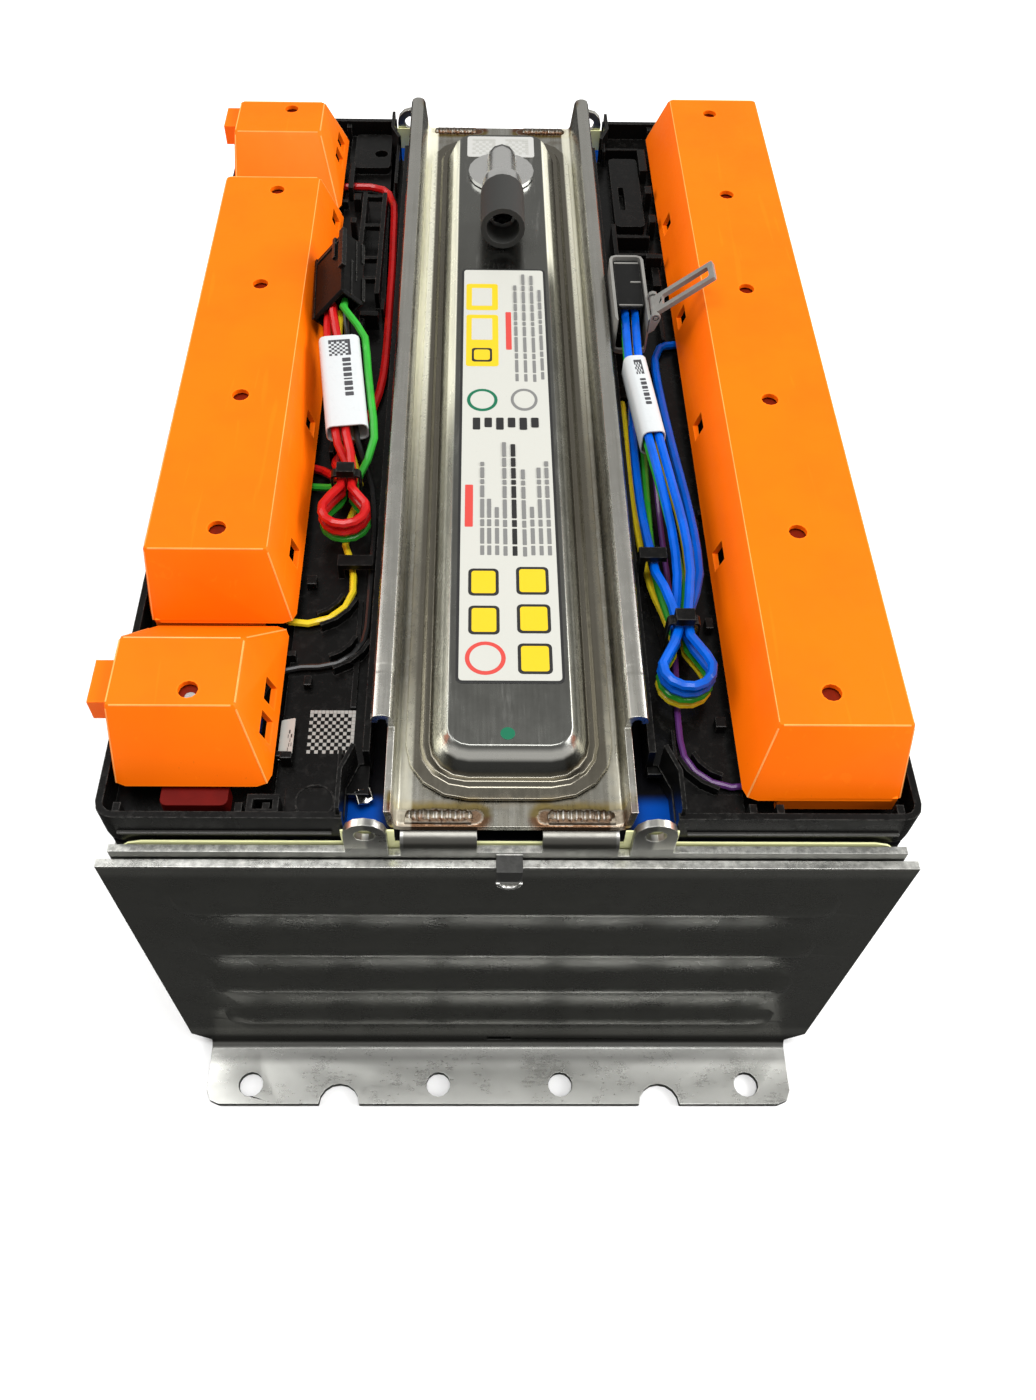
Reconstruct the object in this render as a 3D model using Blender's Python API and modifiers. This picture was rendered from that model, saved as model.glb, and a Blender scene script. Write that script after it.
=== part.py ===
"""Six-cell EV battery module: cells between steel end plates, busbar carriers under
orange covers, a steel channel with a welded vent pan, and the sense-wire harnesses.

Metres. X runs across the module, Y along it and Z up, with the origin on the mounting
plane under the module's middle. The front end faces -Y."""

import math

import bmesh
import bpy
from mathutils import Euler, Matrix, Vector

# Fits
CLEARANCE = 0.0003
CUT_OVERRUN = 0.002
MERGE_DISTANCE = 0.000003

# Cells, in their blue film
CELL_COUNT = 6
CELL_WIDTH = 0.173
CELL_THICKNESS = 0.045
CELL_HEIGHT = 0.115
CELL_CORNER = 0.003
SPACER_THICKNESS = 0.0004
SPACER_MARGIN = 0.003
TERMINAL_SHIFT = 0.0003
TERMINAL_WIDTH = 0.020
TERMINAL_LENGTH = 0.016
TERMINAL_HEIGHT = 0.0026

# Side plates: steel sheets with a lip under the cells
SIDE_SHEET = 0.0012
SIDE_LIP = 0.010
SIDE_LIP_BASE = 0.0004
SIDE_DROP = 0.0089

# Outer end plates: beads, then a bent flange with holes and notches
OUTER_SHEET = 0.002
END_OVERHANG = 0.0025
END_DROP = 0.0019
END_CORNER_CUT = 0.005
FLANGE_REACH = 0.018
FLANGE_BEND = 0.002
FLANGE_CORNER = 0.004
FLANGE_HOLE_RADIUS = 0.0035
FLANGE_HOLE_SETBACK = 0.0124
FLANGE_HOLE_MARGIN = 0.0175
FLANGE_HOLE_INNER = 0.0176
FLANGE_NOTCH_MARGIN = 0.0431
FLANGE_NOTCH_RADIUS = 0.0058
RELIEF_LENGTH = 0.007
RELIEF_HEIGHT = 0.0025
BEAD_COUNT = 4
BEAD_TOP_MARGIN = 0.0195
BEAD_WIDTH = 0.0112
BEAD_DEPTH = 0.0018
BEAD_MARGIN = 0.013
BEAD_END = 0.006
BEAD_LOWEST = 0.0235

# Inner end plates: ears, tabs folded under the channel, and a tongue over the outer plate
INNER_SHEET = 0.0018
INNER_MARGIN = 0.0005
INNER_RISE = 0.0027
EAR_REACH = 0.0306
EAR_RADIUS = 0.0046
EAR_HOLE_RADIUS = 0.0023
EAR_RISE = 0.0073
TAB_INNER = 0.007
TAB_OUTER = 0.0234
TAB_FOLD = 0.0105
TAB_BEND = 0.0008
TAB_NOTCH_DEPTH = 0.0016
TONGUE_WIDTH = 0.0057
TONGUE_DROP = 0.0055

# Insulating foils inside the end plates
FOIL_THICKNESS = 0.0004
FOIL_MARGIN = 0.0015
FOIL_RISE = 0.0006
FOIL_CORNER = 0.006
FOIL_SHOULDER_INNER = 0.0246
FOIL_SHOULDER_OUTER = 0.0360
FOIL_SHOULDER_RISE = 0.0050

# Channel: a folded trough with a turned-down lip
CHANNEL_SHEET = 0.0015
CHANNEL_LIFT = 0.0056
CHANNEL_FLOOR = 0.0464
CHANNEL_BEND = 0.0012
CHANNEL_LEAN = 0.0009
CHANNEL_DEPTH = 0.0105
CHANNEL_LIP = 0.0006
CHANNEL_LIP_BEND = 0.0006
CHANNEL_LIP_DROP = 0.0008
CHANNEL_END_PLAIN = 0.0212
CHANNEL_END_DROP = 0.0028
DUCT_SLOT_WIDTH = 0.024
DUCT_SLOT_END = 0.020
DUCT_SLOT_CORNER = 0.008
WELD_REACH = 0.0153
WELD_LENGTH = 0.0142
WELD_RADIUS = 0.0011
WELD_SETBACK = 0.0025

# Vent pan, welded in the channel
PAN_SHEET = 0.001
PAN_WIDTH = 0.0456
PAN_FRONT_SETBACK = 0.0060
PAN_REAR_SETBACK = 0.0095
PAN_CORNER = 0.0140
PAN_FLANGE = 0.0030
PAN_GROOVE_WIDTH = 0.0022
PAN_GROOVE_DEPTH = 0.0004
PAN_TOP_INSET = 0.0093
PAN_RISE = 0.0068
PAN_EDGE = 0.0012

# Vent elbow on the pan, its clamp ring and its rubber sleeve
VENT_SETBACK = 0.0425
VENT_DISC_RADIUS = 0.0104
VENT_DISC_HEIGHT = 0.0012
VENT_PIPE_RADIUS = 0.0046
VENT_PIPE_WALL = 0.0011
VENT_AXIS_RISE = 0.0070
VENT_BEND = 0.0056
VENT_PIPE_REACH = 0.0330
CLAMP_RADIUS = 0.0061
CLAMP_LENGTH = 0.0045
CLAMP_REACH = 0.0180
SLEEVE_RADIUS = 0.0066
SLEEVE_LENGTH = 0.0180

# Carriers: moulded trays with rim, deck, windows, ribs, guides and clips
CARRIER_INNER = 0.0304
CARRIER_OVERHANG = 0.0009
CARRIER_BASE = 0.002
CARRIER_WALL = 0.0016
CARRIER_CORNER = 0.004
CARRIER_RIM = 0.0098
CARRIER_DECK = 0.0044
CARRIER_DECK_REACH = 0.0010
CORRIDOR = 0.0196
CARRIER_WINDOW_GAP = 0.0015
RIB_THICKNESS = 0.0014
RIB_HEIGHT = 0.0052
MOUTH_WIDTH = 0.0050
MOUTH_LENGTH = 0.0166
MOUTH_SLANT = 0.0063
MOUTH_WALL = 0.0010
MOUTH_WALL_HEIGHT = 0.0085
POCKET_WIDTH = 0.0100
POCKET_LENGTH = 0.0120
POCKET_DEPTH = 0.0022
SENSE_POCKET_WIDTH = 0.0080
SENSE_POCKET_LENGTH = 0.0084
SENSE_POCKET_PLACE = (0.0362, -0.0030)
GUIDE_WALL = 0.0010
GUIDE_HEIGHT = 0.0026
GUIDE_RADIUS = 0.0110
GUIDE_HALF_GAP = 0.0018
RIGHT_GUIDE = (0.0495, -0.1158)
LEFT_YELLOW_GUIDE = (0.0484, -0.0710)
LEFT_BLACK_GUIDE = (0.0445, -0.0837)
CLIP_WIDTH = 0.0034
CLIP_POST = 0.0016
RIGHT_CLIP = (0.0318, 0.0384, -0.0674, 0.0096)
LEFT_CLIP = (0.0398, 0.0326, -0.0650, 0.0034)
RACK_RAIL = 0.0014
RACK_RISE = 0.0055
RACK_RUNG = 0.0020
RACK_SPAN = (0.0366, 0.0442)
RACK_ENDS = (0.0400, 0.0925)
RACK_RUNGS = (0.0480, 0.0580, 0.0750, 0.0910)
LEFT_PAD = ((0.0368, 0.1120), (0.0490, 0.1325))
LEFT_PAD_RISE = 0.0024
LEFT_PAD_HOLE = (0.0400, 0.1205)
LEFT_PAD_HOLE_RADIUS = 0.0022
RIGHT_PAD = ((0.0365, 0.0790), (0.0460, 0.1180))
RIGHT_PAD_RISE = 0.0030
RIGHT_PAD_SLOT = ((0.0386, 0.0880), (0.0404, 0.1010))
PAD_CORNER = 0.0015
PAD_SLOT_CORNER = 0.0006
RIM_CLIP_INSET = 0.0153
RIM_CLIP_HALF = 0.0034
RIM_CLIP_LENGTH = 0.0052
RIM_CLIP_WALL = 0.0013
PEG_WIDTH = 0.0016
PEG_LENGTH = 0.0022
PEG_GAP = 0.0058
PEG_HEIGHT = 0.0070

# Orange covers: trays with a hip at each end
COVER_WALL = 0.0013
COVER_TOP = 0.0251
COVER_BASE = 0.0085
COVER_INNER_SLOPE = 0.0050
COVER_OUTER_SETBACK = 0.0028
COVER_OUTER_SLOPE = 0.0008
COVER_END_SETBACK = 0.0055
COVER_END_SLOPE = 0.0080
COVER_CORNER = 0.0030
COVER_RIDGE = 0.0008
COVER_HOLE_RADIUS = 0.0022
COVER_WINDOW_LENGTH = 0.0060
COVER_WINDOW_HEIGHT = 0.0048
COVER_WINDOW_RISE = 0.0046
COVER_WINDOW_SHIFT = 0.0030
COVER_WINDOW_REACH = 0.0030
COVER_SKIRT_INSET = 0.0075
COVER_SKIRT_DROP = 0.0040
COVER_GAP = 0.0080
COVER_SPLIT = 0.0009
TERMINAL_COVER_REAR_SLOPE = 0.0160
TERMINAL_COVER_FRONT_SLOPE = 0.0092
TERMINAL_COVER_INNER_GAP = 0.0012
TERMINAL_COVER_OVERHANG = 0.0006
TERMINAL_COVER_FRONT_SETBACK = 0.0085
TERMINAL_WINDOWS = (0.1075, 0.1165)
TERMINAL_TAB_PLACE = 0.1065
TERMINAL_TAB_LENGTH = 0.0110
TERMINAL_TAB_REACH = 0.0034
TERMINAL_TAB_HEIGHT = 0.0060

# Busbars and terminal bars
BUSBAR_THICKNESS = 0.002
BUSBAR_WIDTH = 0.017
BUSBAR_END = 0.0065
BUSBAR_HUMP = 0.0040
BUSBAR_HUMP_LENGTH = 0.0140
TERMINAL_BAR_LENGTH = 0.016
SCREW_RADIUS = 0.0045
SCREW_HEIGHT = 0.0060
SCREW_SOCKET_RADIUS = 0.0022
SCREW_SOCKET_DEPTH = 0.0030
BLOCK_WIDTH = 0.0145
BLOCK_LENGTH = 0.0060
BLOCK_SETBACK = 0.0030
BLOCK_CORNER = 0.0015

# Left connector, rolled against the cover, and the rest that carries it
LEFT_CONNECTOR_WIDTH = 0.0134
LEFT_CONNECTOR_HEIGHT = 0.0076
LEFT_CONNECTOR_LENGTH = 0.0270
LEFT_CONNECTOR_EDGE = 0.0006
LEFT_CONNECTOR_ROLL = math.radians(47)
LEFT_CONNECTOR_YAW = math.radians(3)
LEFT_CONNECTOR_SEAT = (-0.0461, 0.0255, 0.0193)
LEFT_POCKET_DEPTH = 0.0030
LEFT_POCKET_WALL = 0.0010
REST_LENGTH = 0.0120
REST_WIDTH = 0.0070
REST_OUTER_LIP = 0.0015
REST_INNER_LIP = 0.0050

# Right connector: body in a light frame, with a hinged latch
FRAME_WIDTH = 0.0098
FRAME_LENGTH = 0.0305
FRAME_HEIGHT = 0.0110
FRAME_WALL = 0.0008
FRAME_CORNER = 0.0020
FRAME_PLACE = (0.0357, 0.0282)
FRAME_MOUTH_SILL = 0.0015
BODY_GAP = 0.0004
BODY_LENGTH = 0.0215
BODY_DROP = 0.0010
BODY_POCKET_DEPTH = 0.0030
BODY_POCKET_WALL = 0.0009
BODY_CORNER = 0.0010
HINGE_REACH = 0.0011
HINGE_RISE = 0.0009
HINGE_SETBACK = 0.0053
LATCH_WIDTH = 0.0076
LATCH_LENGTH = 0.0190
LATCH_ARM = 0.0016
LATCH_BARREL_RADIUS = 0.0010
LATCH_PIN_RADIUS = 0.0006
LATCH_EAR = 0.0012
LATCH_EAR_RADIUS = 0.0014
LATCH_EAR_DROP = 0.0050
LATCH_HALF_THICKNESS = 0.0007
LATCH_CORNER = 0.0006
LATCH_SLOT_START = 0.0030
LATCH_OPEN = math.radians(39)

# Where each wire sits in its connector and in its label sleeve, across and up
LEFT_SLOTS = {
    "red_1": ((-0.0003, 0.0014), (-0.0004, 0.0012)),
    "red_2": ((-0.0034, 0.0009), (-0.0031, 0.0010)),
    "green": ((0.0028, 0.0000), (0.0069, 0.0008)),
    "yellow": ((-0.0011, -0.0013), (-0.0002, -0.0015)),
    "black": ((0.0013, -0.0015), (0.0023, -0.0009)),
}
RIGHT_SLOTS = {
    "blue_1": ((0.0014, 0.0074), (0.00135, 0.0020)),
    "blue_2": ((-0.0014, 0.0074), (-0.00135, 0.0020)),
    "green": ((-0.0014, 0.0048), (-0.0014, -0.0004)),
    "yellow": ((0.0014, 0.0048), (0.0014, -0.0004)),
    "purple": ((0.0000, 0.0026), (0.0000, -0.0024)),
}

# Harness: wire radii, slack loops, sleeves and ties
RED_RADIUS = 0.00115
BLUE_RADIUS = 0.00115
GREEN_RADIUS = 0.0010
YELLOW_RADIUS = 0.0009
THIN_RADIUS = 0.00075
WIRE_STEP_IN_DIAMETERS = 2.8
WIRE_TURN = math.radians(26)
WIRE_LAST_SHARE = 0.25
WIRE_END_GAP = 0.0006
LEFT_LOOP_RADIUS = 0.0055
LEFT_LOOP_REACH = 0.0100
LEFT_LOOP_RISES = (0.0054, 0.0080, 0.0107)
RIGHT_LOOP_RADIUS = 0.0056
RIGHT_LOOP_REACH = 0.0115
RIGHT_LOOP_RISES = (0.0040, 0.0062, 0.0087, 0.0113)
NECK_HALF_GAP = 0.00135
LEAD = 0.0012
LEFT_NECK = (-0.0402, -0.0430)
RIGHT_NECK = (0.0400, -0.0900)
TIE_WALL = 0.0007
TIE_GAP = 0.0006
TIE_LENGTH = 0.0026
TIE_CORNER = 0.0005
TIE_HEAD = 0.0022
TIE_HEAD_LENGTH = 0.0034
SLEEVE_CORNER_SHARE = 0.6
LABEL_SLEEVE_WALL = 0.0004
LEFT_SLEEVE_LENGTH = 0.0310
LEFT_SLEEVE_HALF_WIDTH = 0.0055
LEFT_SLEEVE_HALF_HEIGHT = 0.0031
LEFT_SLEEVE_SEAT = (-0.0428, -0.0120, 0.0139)
LEFT_SLEEVE_PITCH = math.radians(8)
LEFT_SLEEVE_YAW = math.radians(7.2)
RIGHT_SLEEVE_LENGTH = 0.0300
RIGHT_SLEEVE_HALF_WIDTH = 0.0031
RIGHT_SLEEVE_HALF_HEIGHT = 0.0040
RIGHT_SLEEVE_SEAT = (0.0367, -0.0150, 0.0117)
RIGHT_SLEEVE_YAW = math.radians(5.3)

# Places worked out from the sizes above
end_width = CELL_WIDTH + 2 * END_OVERHANG
inner_width = CELL_WIDTH - 2 * INNER_MARGIN
foil_width = CELL_WIDTH - 2 * FOIL_MARGIN
bead_length = end_width - 2 * BEAD_MARGIN
flange_hole_outer = end_width / 2 - FLANGE_HOLE_MARGIN
flange_notch_reach = end_width / 2 - FLANGE_NOTCH_MARGIN
carrier_outer = CELL_WIDTH / 2 + CARRIER_OVERHANG
cover_inner = CARRIER_INNER + CORRIDOR
deck_edge = cover_inner + CARRIER_DECK_REACH
cover_outer = carrier_outer - COVER_OUTER_SETBACK
terminal_reach = (cover_inner + cover_outer) / 2 + TERMINAL_SHIFT
terminal_cover_inner = cover_inner + TERMINAL_COVER_INNER_GAP
terminal_cover_outer = cover_outer + TERMINAL_COVER_OVERHANG
cell_base = SIDE_LIP_BASE + SIDE_SHEET + CLEARANCE
cell_top = cell_base + CELL_HEIGHT
end_height = cell_top - END_DROP
side_height = cell_top - SIDE_DROP
bead_pitch = (end_height - BEAD_TOP_MARGIN - BEAD_LOWEST) / (BEAD_COUNT - 1)
cell_pitch = CELL_THICKNESS + SPACER_THICKNESS + 2 * CLEARANCE
stack_half = (CELL_COUNT * cell_pitch - SPACER_THICKNESS) / 2 - CLEARANCE
foil_face = stack_half + CLEARANCE + FOIL_THICKNESS
inner_face = foil_face + CLEARANCE + INNER_SHEET
outer_face = inner_face + CLEARANCE + OUTER_SHEET
channel_base = cell_top + CHANNEL_LIFT
channel_floor = channel_base + CHANNEL_SHEET
pan_base = channel_floor + CLEARANCE
pan_top = pan_base + PAN_SHEET + PAN_RISE
tray_base = cell_top + CLEARANCE
tray_floor = tray_base + CARRIER_BASE
deck_top = tray_base + CARRIER_DECK
rim_top = tray_base + CARRIER_RIM


def above_deck(place):
    """A place given by its height above the carriers' deck."""
    return (place[0], place[1], deck_top + place[2])


carrier_half = stack_half - CLEARANCE
bar_base = cell_top + TERMINAL_HEIGHT + CLEARANCE
bar_top = bar_base + BUSBAR_THICKNESS
cover_base = cell_top + COVER_BASE
cover_top = cell_top + COVER_TOP
cover_half = carrier_half - COVER_END_SETBACK
frame_place = (*FRAME_PLACE, rim_top + CLEARANCE)
hinge_x = FRAME_PLACE[0] + FRAME_WIDTH / 2 + HINGE_REACH
hinge_y = FRAME_PLACE[1] - FRAME_LENGTH / 2 + HINGE_SETBACK
hinge_z = frame_place[2] + FRAME_HEIGHT + HINGE_RISE
left_connector_place = above_deck(LEFT_CONNECTOR_SEAT)
left_sleeve_place = above_deck(LEFT_SLEEVE_SEAT)
right_sleeve_place = above_deck(RIGHT_SLEEVE_SEAT)
left_loop_levels = [deck_top + rise for rise in LEFT_LOOP_RISES]
right_loop_levels = [deck_top + rise for rise in RIGHT_LOOP_RISES]
left_connector_turn = (0, -LEFT_CONNECTOR_ROLL, LEFT_CONNECTOR_YAW)
left_sleeve_turn = (LEFT_SLEEVE_PITCH, 0, LEFT_SLEEVE_YAW)
right_sleeve_turn = (0, 0, RIGHT_SLEEVE_YAW)


def cell_centre(index):
    """Y of a cell's middle, cell 0 at the front."""
    return (index - (CELL_COUNT - 1) / 2) * cell_pitch


def collection(name):
    made = bpy.data.collections.new(name)
    bpy.context.scene.collection.children.link(made)
    return made


def clear_scene():
    for obj in list(bpy.data.objects):
        bpy.data.objects.remove(obj, do_unlink=True)


clear_scene()
module = collection("ev_battery_module")
cutters = collection("cutters")
materials = {}


def material(name, colour, roughness, metallic):
    made = bpy.data.materials.new(name)
    made.use_nodes = True
    shader = made.node_tree.nodes["Principled BSDF"]
    shader.inputs["Base Color"].default_value = (*colour, 1)
    shader.inputs["Roughness"].default_value = roughness
    shader.inputs["Metallic"].default_value = metallic
    made.diffuse_color = (*colour, 1)
    materials[name] = made


def define_materials():
    material("pressed_steel", (0.30, 0.29, 0.27), 0.38, 1)
    material("bright_steel", (0.55, 0.54, 0.52), 0.28, 1)
    material("busbar_aluminium", (0.75, 0.74, 0.72), 0.35, 1)
    material("orange_plastic", (0.95, 0.22, 0.01), 0.42, 0)
    material("black_plastic", (0.015, 0.015, 0.016), 0.5, 0)
    material("grey_plastic", (0.42, 0.43, 0.44), 0.5, 0)
    material("red_plastic", (0.30, 0.01, 0.008), 0.45, 0)
    material("blue_film", (0.01, 0.10, 0.45), 0.35, 0)
    material("yellow_foil", (0.88, 0.84, 0.42), 0.5, 0)
    material("white_sleeve", (0.85, 0.86, 0.88), 0.45, 0)
    material("black_rubber", (0.02, 0.02, 0.02), 0.65, 0)
    material("red_wire", (0.75, 0.02, 0.02), 0.35, 0)
    material("green_wire", (0.05, 0.55, 0.08), 0.35, 0)
    material("yellow_wire", (0.90, 0.75, 0.02), 0.35, 0)
    material("black_wire", (0.02, 0.02, 0.02), 0.35, 0)
    material("blue_wire", (0.01, 0.16, 0.80), 0.35, 0)
    material("purple_wire", (0.25, 0.06, 0.38), 0.35, 0)


def to_mesh(bm, name):
    mesh = bpy.data.meshes.new(name)
    bm.to_mesh(mesh)
    bm.free()
    return mesh


def box(low, high):
    """A box between two corners."""
    bm = bmesh.new()
    size = Vector(high) - Vector(low)
    centre = (Vector(high) + Vector(low)) / 2
    bmesh.ops.create_cube(bm, size=1, matrix=Matrix.Translation(centre) @ Matrix.Diagonal((*size, 1)))
    return to_mesh(bm, "box")


def cylinder(radius, low, high, axis="Z", segments=16):
    """A cylinder about the line from low, of the given length along one axis."""
    turns = {"X": Matrix.Rotation(math.pi / 2, 4, "Y"), "Y": Matrix.Rotation(-math.pi / 2, 4, "X")}
    start = Vector(low)
    end = Vector(high)
    bm = bmesh.new()
    place = Matrix.Translation((start + end) / 2) @ turns.get(axis, Matrix.Identity(4))
    bmesh.ops.create_cone(
        bm,
        cap_ends=True,
        segments=segments,
        radius1=radius,
        radius2=radius,
        depth=(end - start).length,
        matrix=place,
    )
    return to_mesh(bm, "cylinder")


def curve_mesh(curve):
    """The closed mesh that a curve makes, its caps welded to its sides."""
    holder = bpy.data.objects.new("outline", curve)
    mesh = bpy.data.meshes.new_from_object(holder)
    bpy.data.objects.remove(holder)
    bm = bmesh.new()
    bm.from_mesh(mesh)
    bmesh.ops.remove_doubles(bm, verts=bm.verts, dist=MERGE_DISTANCE)
    bmesh.ops.recalc_face_normals(bm, faces=bm.faces)
    bm.to_mesh(mesh)
    bm.free()
    return mesh


def prism(outlines, low, high, axis="Z"):
    """Flat outlines, each a list of points, extruded from low to high along an axis.

    For Z the points are (x, y), for Y they are (x, z) and for X they are (y, z)."""
    curve = bpy.data.curves.new("outline", "CURVE")
    curve.dimensions = "2D"
    curve.fill_mode = "BOTH"
    curve.extrude = (high - low) / 2
    for outline in outlines:
        spline = curve.splines.new("POLY")
        spline.points.add(len(outline) - 1)
        for point, place in zip(spline.points, outline):
            point.co = (*place, 0, 1)
        spline.use_cyclic_u = True
    mesh = curve_mesh(curve)
    middle = (low + high) / 2
    turns = {
        "Z": Matrix.Translation((0, 0, middle)),
        "Y": Matrix.Translation((0, middle, 0)) @ Matrix.Rotation(math.pi / 2, 4, "X"),
        "X": Matrix.Translation((middle, 0, 0)) @ Matrix(((0, 0, 1, 0), (1, 0, 0, 0), (0, 1, 0, 0), (0, 0, 0, 1))),
    }
    mesh.transform(turns[axis])
    return mesh


def arc(centre, radius, start, end, segments):
    """Points on an arc, angles in degrees, both ends included."""
    angles = [math.radians(start + (end - start) * k / segments) for k in range(segments + 1)]
    return [(centre[0] + radius * math.cos(a), centre[1] + radius * math.sin(a)) for a in angles]


def rounded(low, high, radius, segments=3):
    """A rectangle with round corners, counter-clockwise."""
    corners = (
        ((high[0] - radius, low[1] + radius), -90),
        ((high[0] - radius, high[1] - radius), 0),
        ((low[0] + radius, high[1] - radius), 90),
        ((low[0] + radius, low[1] + radius), 180),
    )
    points = []
    for centre, start in corners:
        points += arc(centre, radius, start, start + 90, segments)
    return points


def loft(rings, cap=True):
    """An open shell through rings of points with as many points each, capped at the last."""
    bm = bmesh.new()
    rows = [[bm.verts.new(point) for point in ring] for ring in rings]
    for lower, upper in zip(rows, rows[1:]):
        for k in range(len(lower)):
            after = (k + 1) % len(lower)
            bm.faces.new((lower[k], lower[after], upper[after], upper[k]))
    if cap:
        bm.faces.new(rows[-1])
    return to_mesh(bm, "loft")


def sheet(section, low, high, axis="Y"):
    """An open surface: a section of (across, up) points drawn from low to high along an axis."""
    bm = bmesh.new()
    if axis == "Y":
        row = [bm.verts.new((across, low, up)) for across, up in section]
        move = Vector((0, high - low, 0))
    else:
        row = [bm.verts.new((low, across, up)) for across, up in section]
        move = Vector((high - low, 0, 0))
    edges = [bm.edges.new(pair) for pair in zip(row, row[1:])]
    made = bmesh.ops.extrude_edge_only(bm, edges=edges)
    moved = [item for item in made["geom"] if isinstance(item, bmesh.types.BMVert)]
    bmesh.ops.translate(bm, verts=moved, vec=move)
    return to_mesh(bm, "sheet")


def smooth_route(points, step):
    """Points on a smooth curve through the route's own points, closer together where it bends."""
    route = [Vector(point) for point in points]
    route = [2 * route[0] - route[1], *route, 2 * route[-1] - route[-2]]
    fine = []
    for before, start, end, after in zip(route, route[1:], route[2:], route[3:]):
        for k in range(16):
            t = k / 16
            fine.append(
                0.5
                * (
                    2 * start
                    + (end - before) * t
                    + (2 * before - 5 * start + 4 * end - after) * t**2
                    + (3 * start - before - 3 * end + after) * t**3
                )
            )
    fine.append(route[-2])
    placed = [fine[0]]
    heading = fine[1] - fine[0]
    run = 0
    for before, place, after in zip(fine, fine[1:], fine[2:]):
        run += (place - before).length
        if run < step and (after - place).angle(heading) < WIRE_TURN:
            continue
        placed.append(place)
        heading = after - place
        run = 0
    if len(placed) > 2 and run < step * WIRE_LAST_SHARE:
        placed.pop()
    placed.append(fine[-1])
    return placed


def tube(points, radius, resolution=2):
    """A round tube along the points, its ends closed."""
    curve = bpy.data.curves.new("route", "CURVE")
    curve.dimensions = "3D"
    curve.bevel_depth = radius
    curve.bevel_resolution = resolution
    curve.use_fill_caps = True
    spline = curve.splines.new("POLY")
    spline.points.add(len(points) - 1)
    for point, place in zip(spline.points, points):
        point.co = (*place, 1)
    return curve_mesh(curve)


def add(name, mesh, look, parent=None, location=(0, 0, 0), rotation=(0, 0, 0)):
    """A named piece of the module."""
    mesh.name = name
    mesh.materials.clear()
    mesh.materials.append(materials[look])
    obj = bpy.data.objects.new(name, mesh)
    obj.location = location
    obj.rotation_euler = rotation
    obj.parent = parent
    module.objects.link(obj)
    return obj


def smooth(obj, degrees=35):
    obj.data.shade_smooth()
    obj.data.set_sharp_from_angle(angle=math.radians(degrees))


def boolean(obj, operation, meshes):
    """Joins the meshes to a piece, or cuts them from it, in the piece's own frame."""
    group = bpy.data.collections.new(f"{obj.name}_{operation.lower()}")
    cutters.children.link(group)
    for mesh in meshes:
        helper = bpy.data.objects.new(f"{obj.name}_{operation.lower()}", mesh)
        helper.location = obj.location
        helper.rotation_euler = obj.rotation_euler
        helper.parent = obj.parent
        helper.hide_render = True
        helper.display_type = "WIRE"
        group.objects.link(helper)
    modifier = obj.modifiers.new(operation.lower(), "BOOLEAN")
    modifier.operation = operation
    modifier.operand_type = "COLLECTION"
    modifier.collection = group
    return obj


def thicken(obj, thickness, offset):
    """Gives an open surface its sheet thickness. Offset -1 grows it away from its normals."""
    modifier = obj.modifiers.new("sheet", "SOLIDIFY")
    modifier.thickness = thickness
    modifier.offset = offset
    modifier.use_even_offset = True
    return obj


def bevel(obj, width, segments=1):
    modifier = obj.modifiers.new("edges", "BEVEL")
    modifier.width = width
    modifier.segments = segments
    modifier.limit_method = "ANGLE"
    modifier.angle_limit = math.radians(50)
    return obj


def empty(name, rotation=0):
    obj = bpy.data.objects.new(name, None)
    obj.rotation_euler = (0, 0, rotation)
    module.objects.link(obj)
    return obj


def mirrored(points):
    """A right half's outline, from the middle outwards, closed by its left half."""
    return points + [(-x, y) for x, y in reversed(points)]


# Cells and what parts them


def build_cells():
    half = Vector((CELL_WIDTH / 2, CELL_THICKNESS / 2))
    block_x = TERMINAL_WIDTH / 2
    block_y = TERMINAL_LENGTH / 2
    for index in range(CELL_COUNT):
        body = prism([rounded(-half, half, CELL_CORNER, 2)], 0, CELL_HEIGHT)
        cell = add(
            f"cell_{index + 1}", body, "blue_film", location=(0, cell_centre(index), cell_base)
        )
        top = CELL_HEIGHT + TERMINAL_HEIGHT
        blocks = [
            box((x - block_x, -block_y, CELL_HEIGHT - TERMINAL_HEIGHT), (x + block_x, block_y, top))
            for x in (-terminal_reach, terminal_reach)
        ]
        boolean(cell, "UNION", blocks)


def build_spacers():
    half = CELL_WIDTH / 2 - SPACER_MARGIN
    for index in range(CELL_COUNT - 1):
        y = (cell_centre(index) + cell_centre(index + 1)) / 2
        low = (-half, y - SPACER_THICKNESS / 2, cell_base)
        high = (half, y + SPACER_THICKNESS / 2, cell_top - SPACER_MARGIN)
        add(f"cell_spacer_{index + 1}", box(low, high), "white_sleeve")


def build_side_plates():
    inner = CELL_WIDTH / 2 + CLEARANCE
    outer = inner + SIDE_SHEET
    lip_top = SIDE_LIP_BASE + SIDE_SHEET
    section = [
        (inner - SIDE_LIP, SIDE_LIP_BASE),
        (outer - SIDE_SHEET, SIDE_LIP_BASE),
        (outer, lip_top),
        (outer, side_height),
        (inner, side_height),
        (inner, lip_top),
        (inner - SIDE_LIP, lip_top),
    ]
    half = inner_face
    for name, turn in (("right_side_plate", 0), ("left_side_plate", math.pi)):
        add(name, prism([section], -half, half, "Y"), "pressed_steel", rotation=(0, 0, turn))


# End plates, built for the front and turned for the rear


def bead_rows():
    """Heights down the beads, each with its share of the bead's depth."""
    rows = []
    for index in reversed(range(BEAD_COUNT)):
        centre = BEAD_LOWEST + index * bead_pitch
        for k in range(5):
            depth_share = math.sin(math.pi * k / 4)
            rows.append((centre + BEAD_WIDTH / 2 - BEAD_WIDTH * k / 4, depth_share))
    return rows


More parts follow.
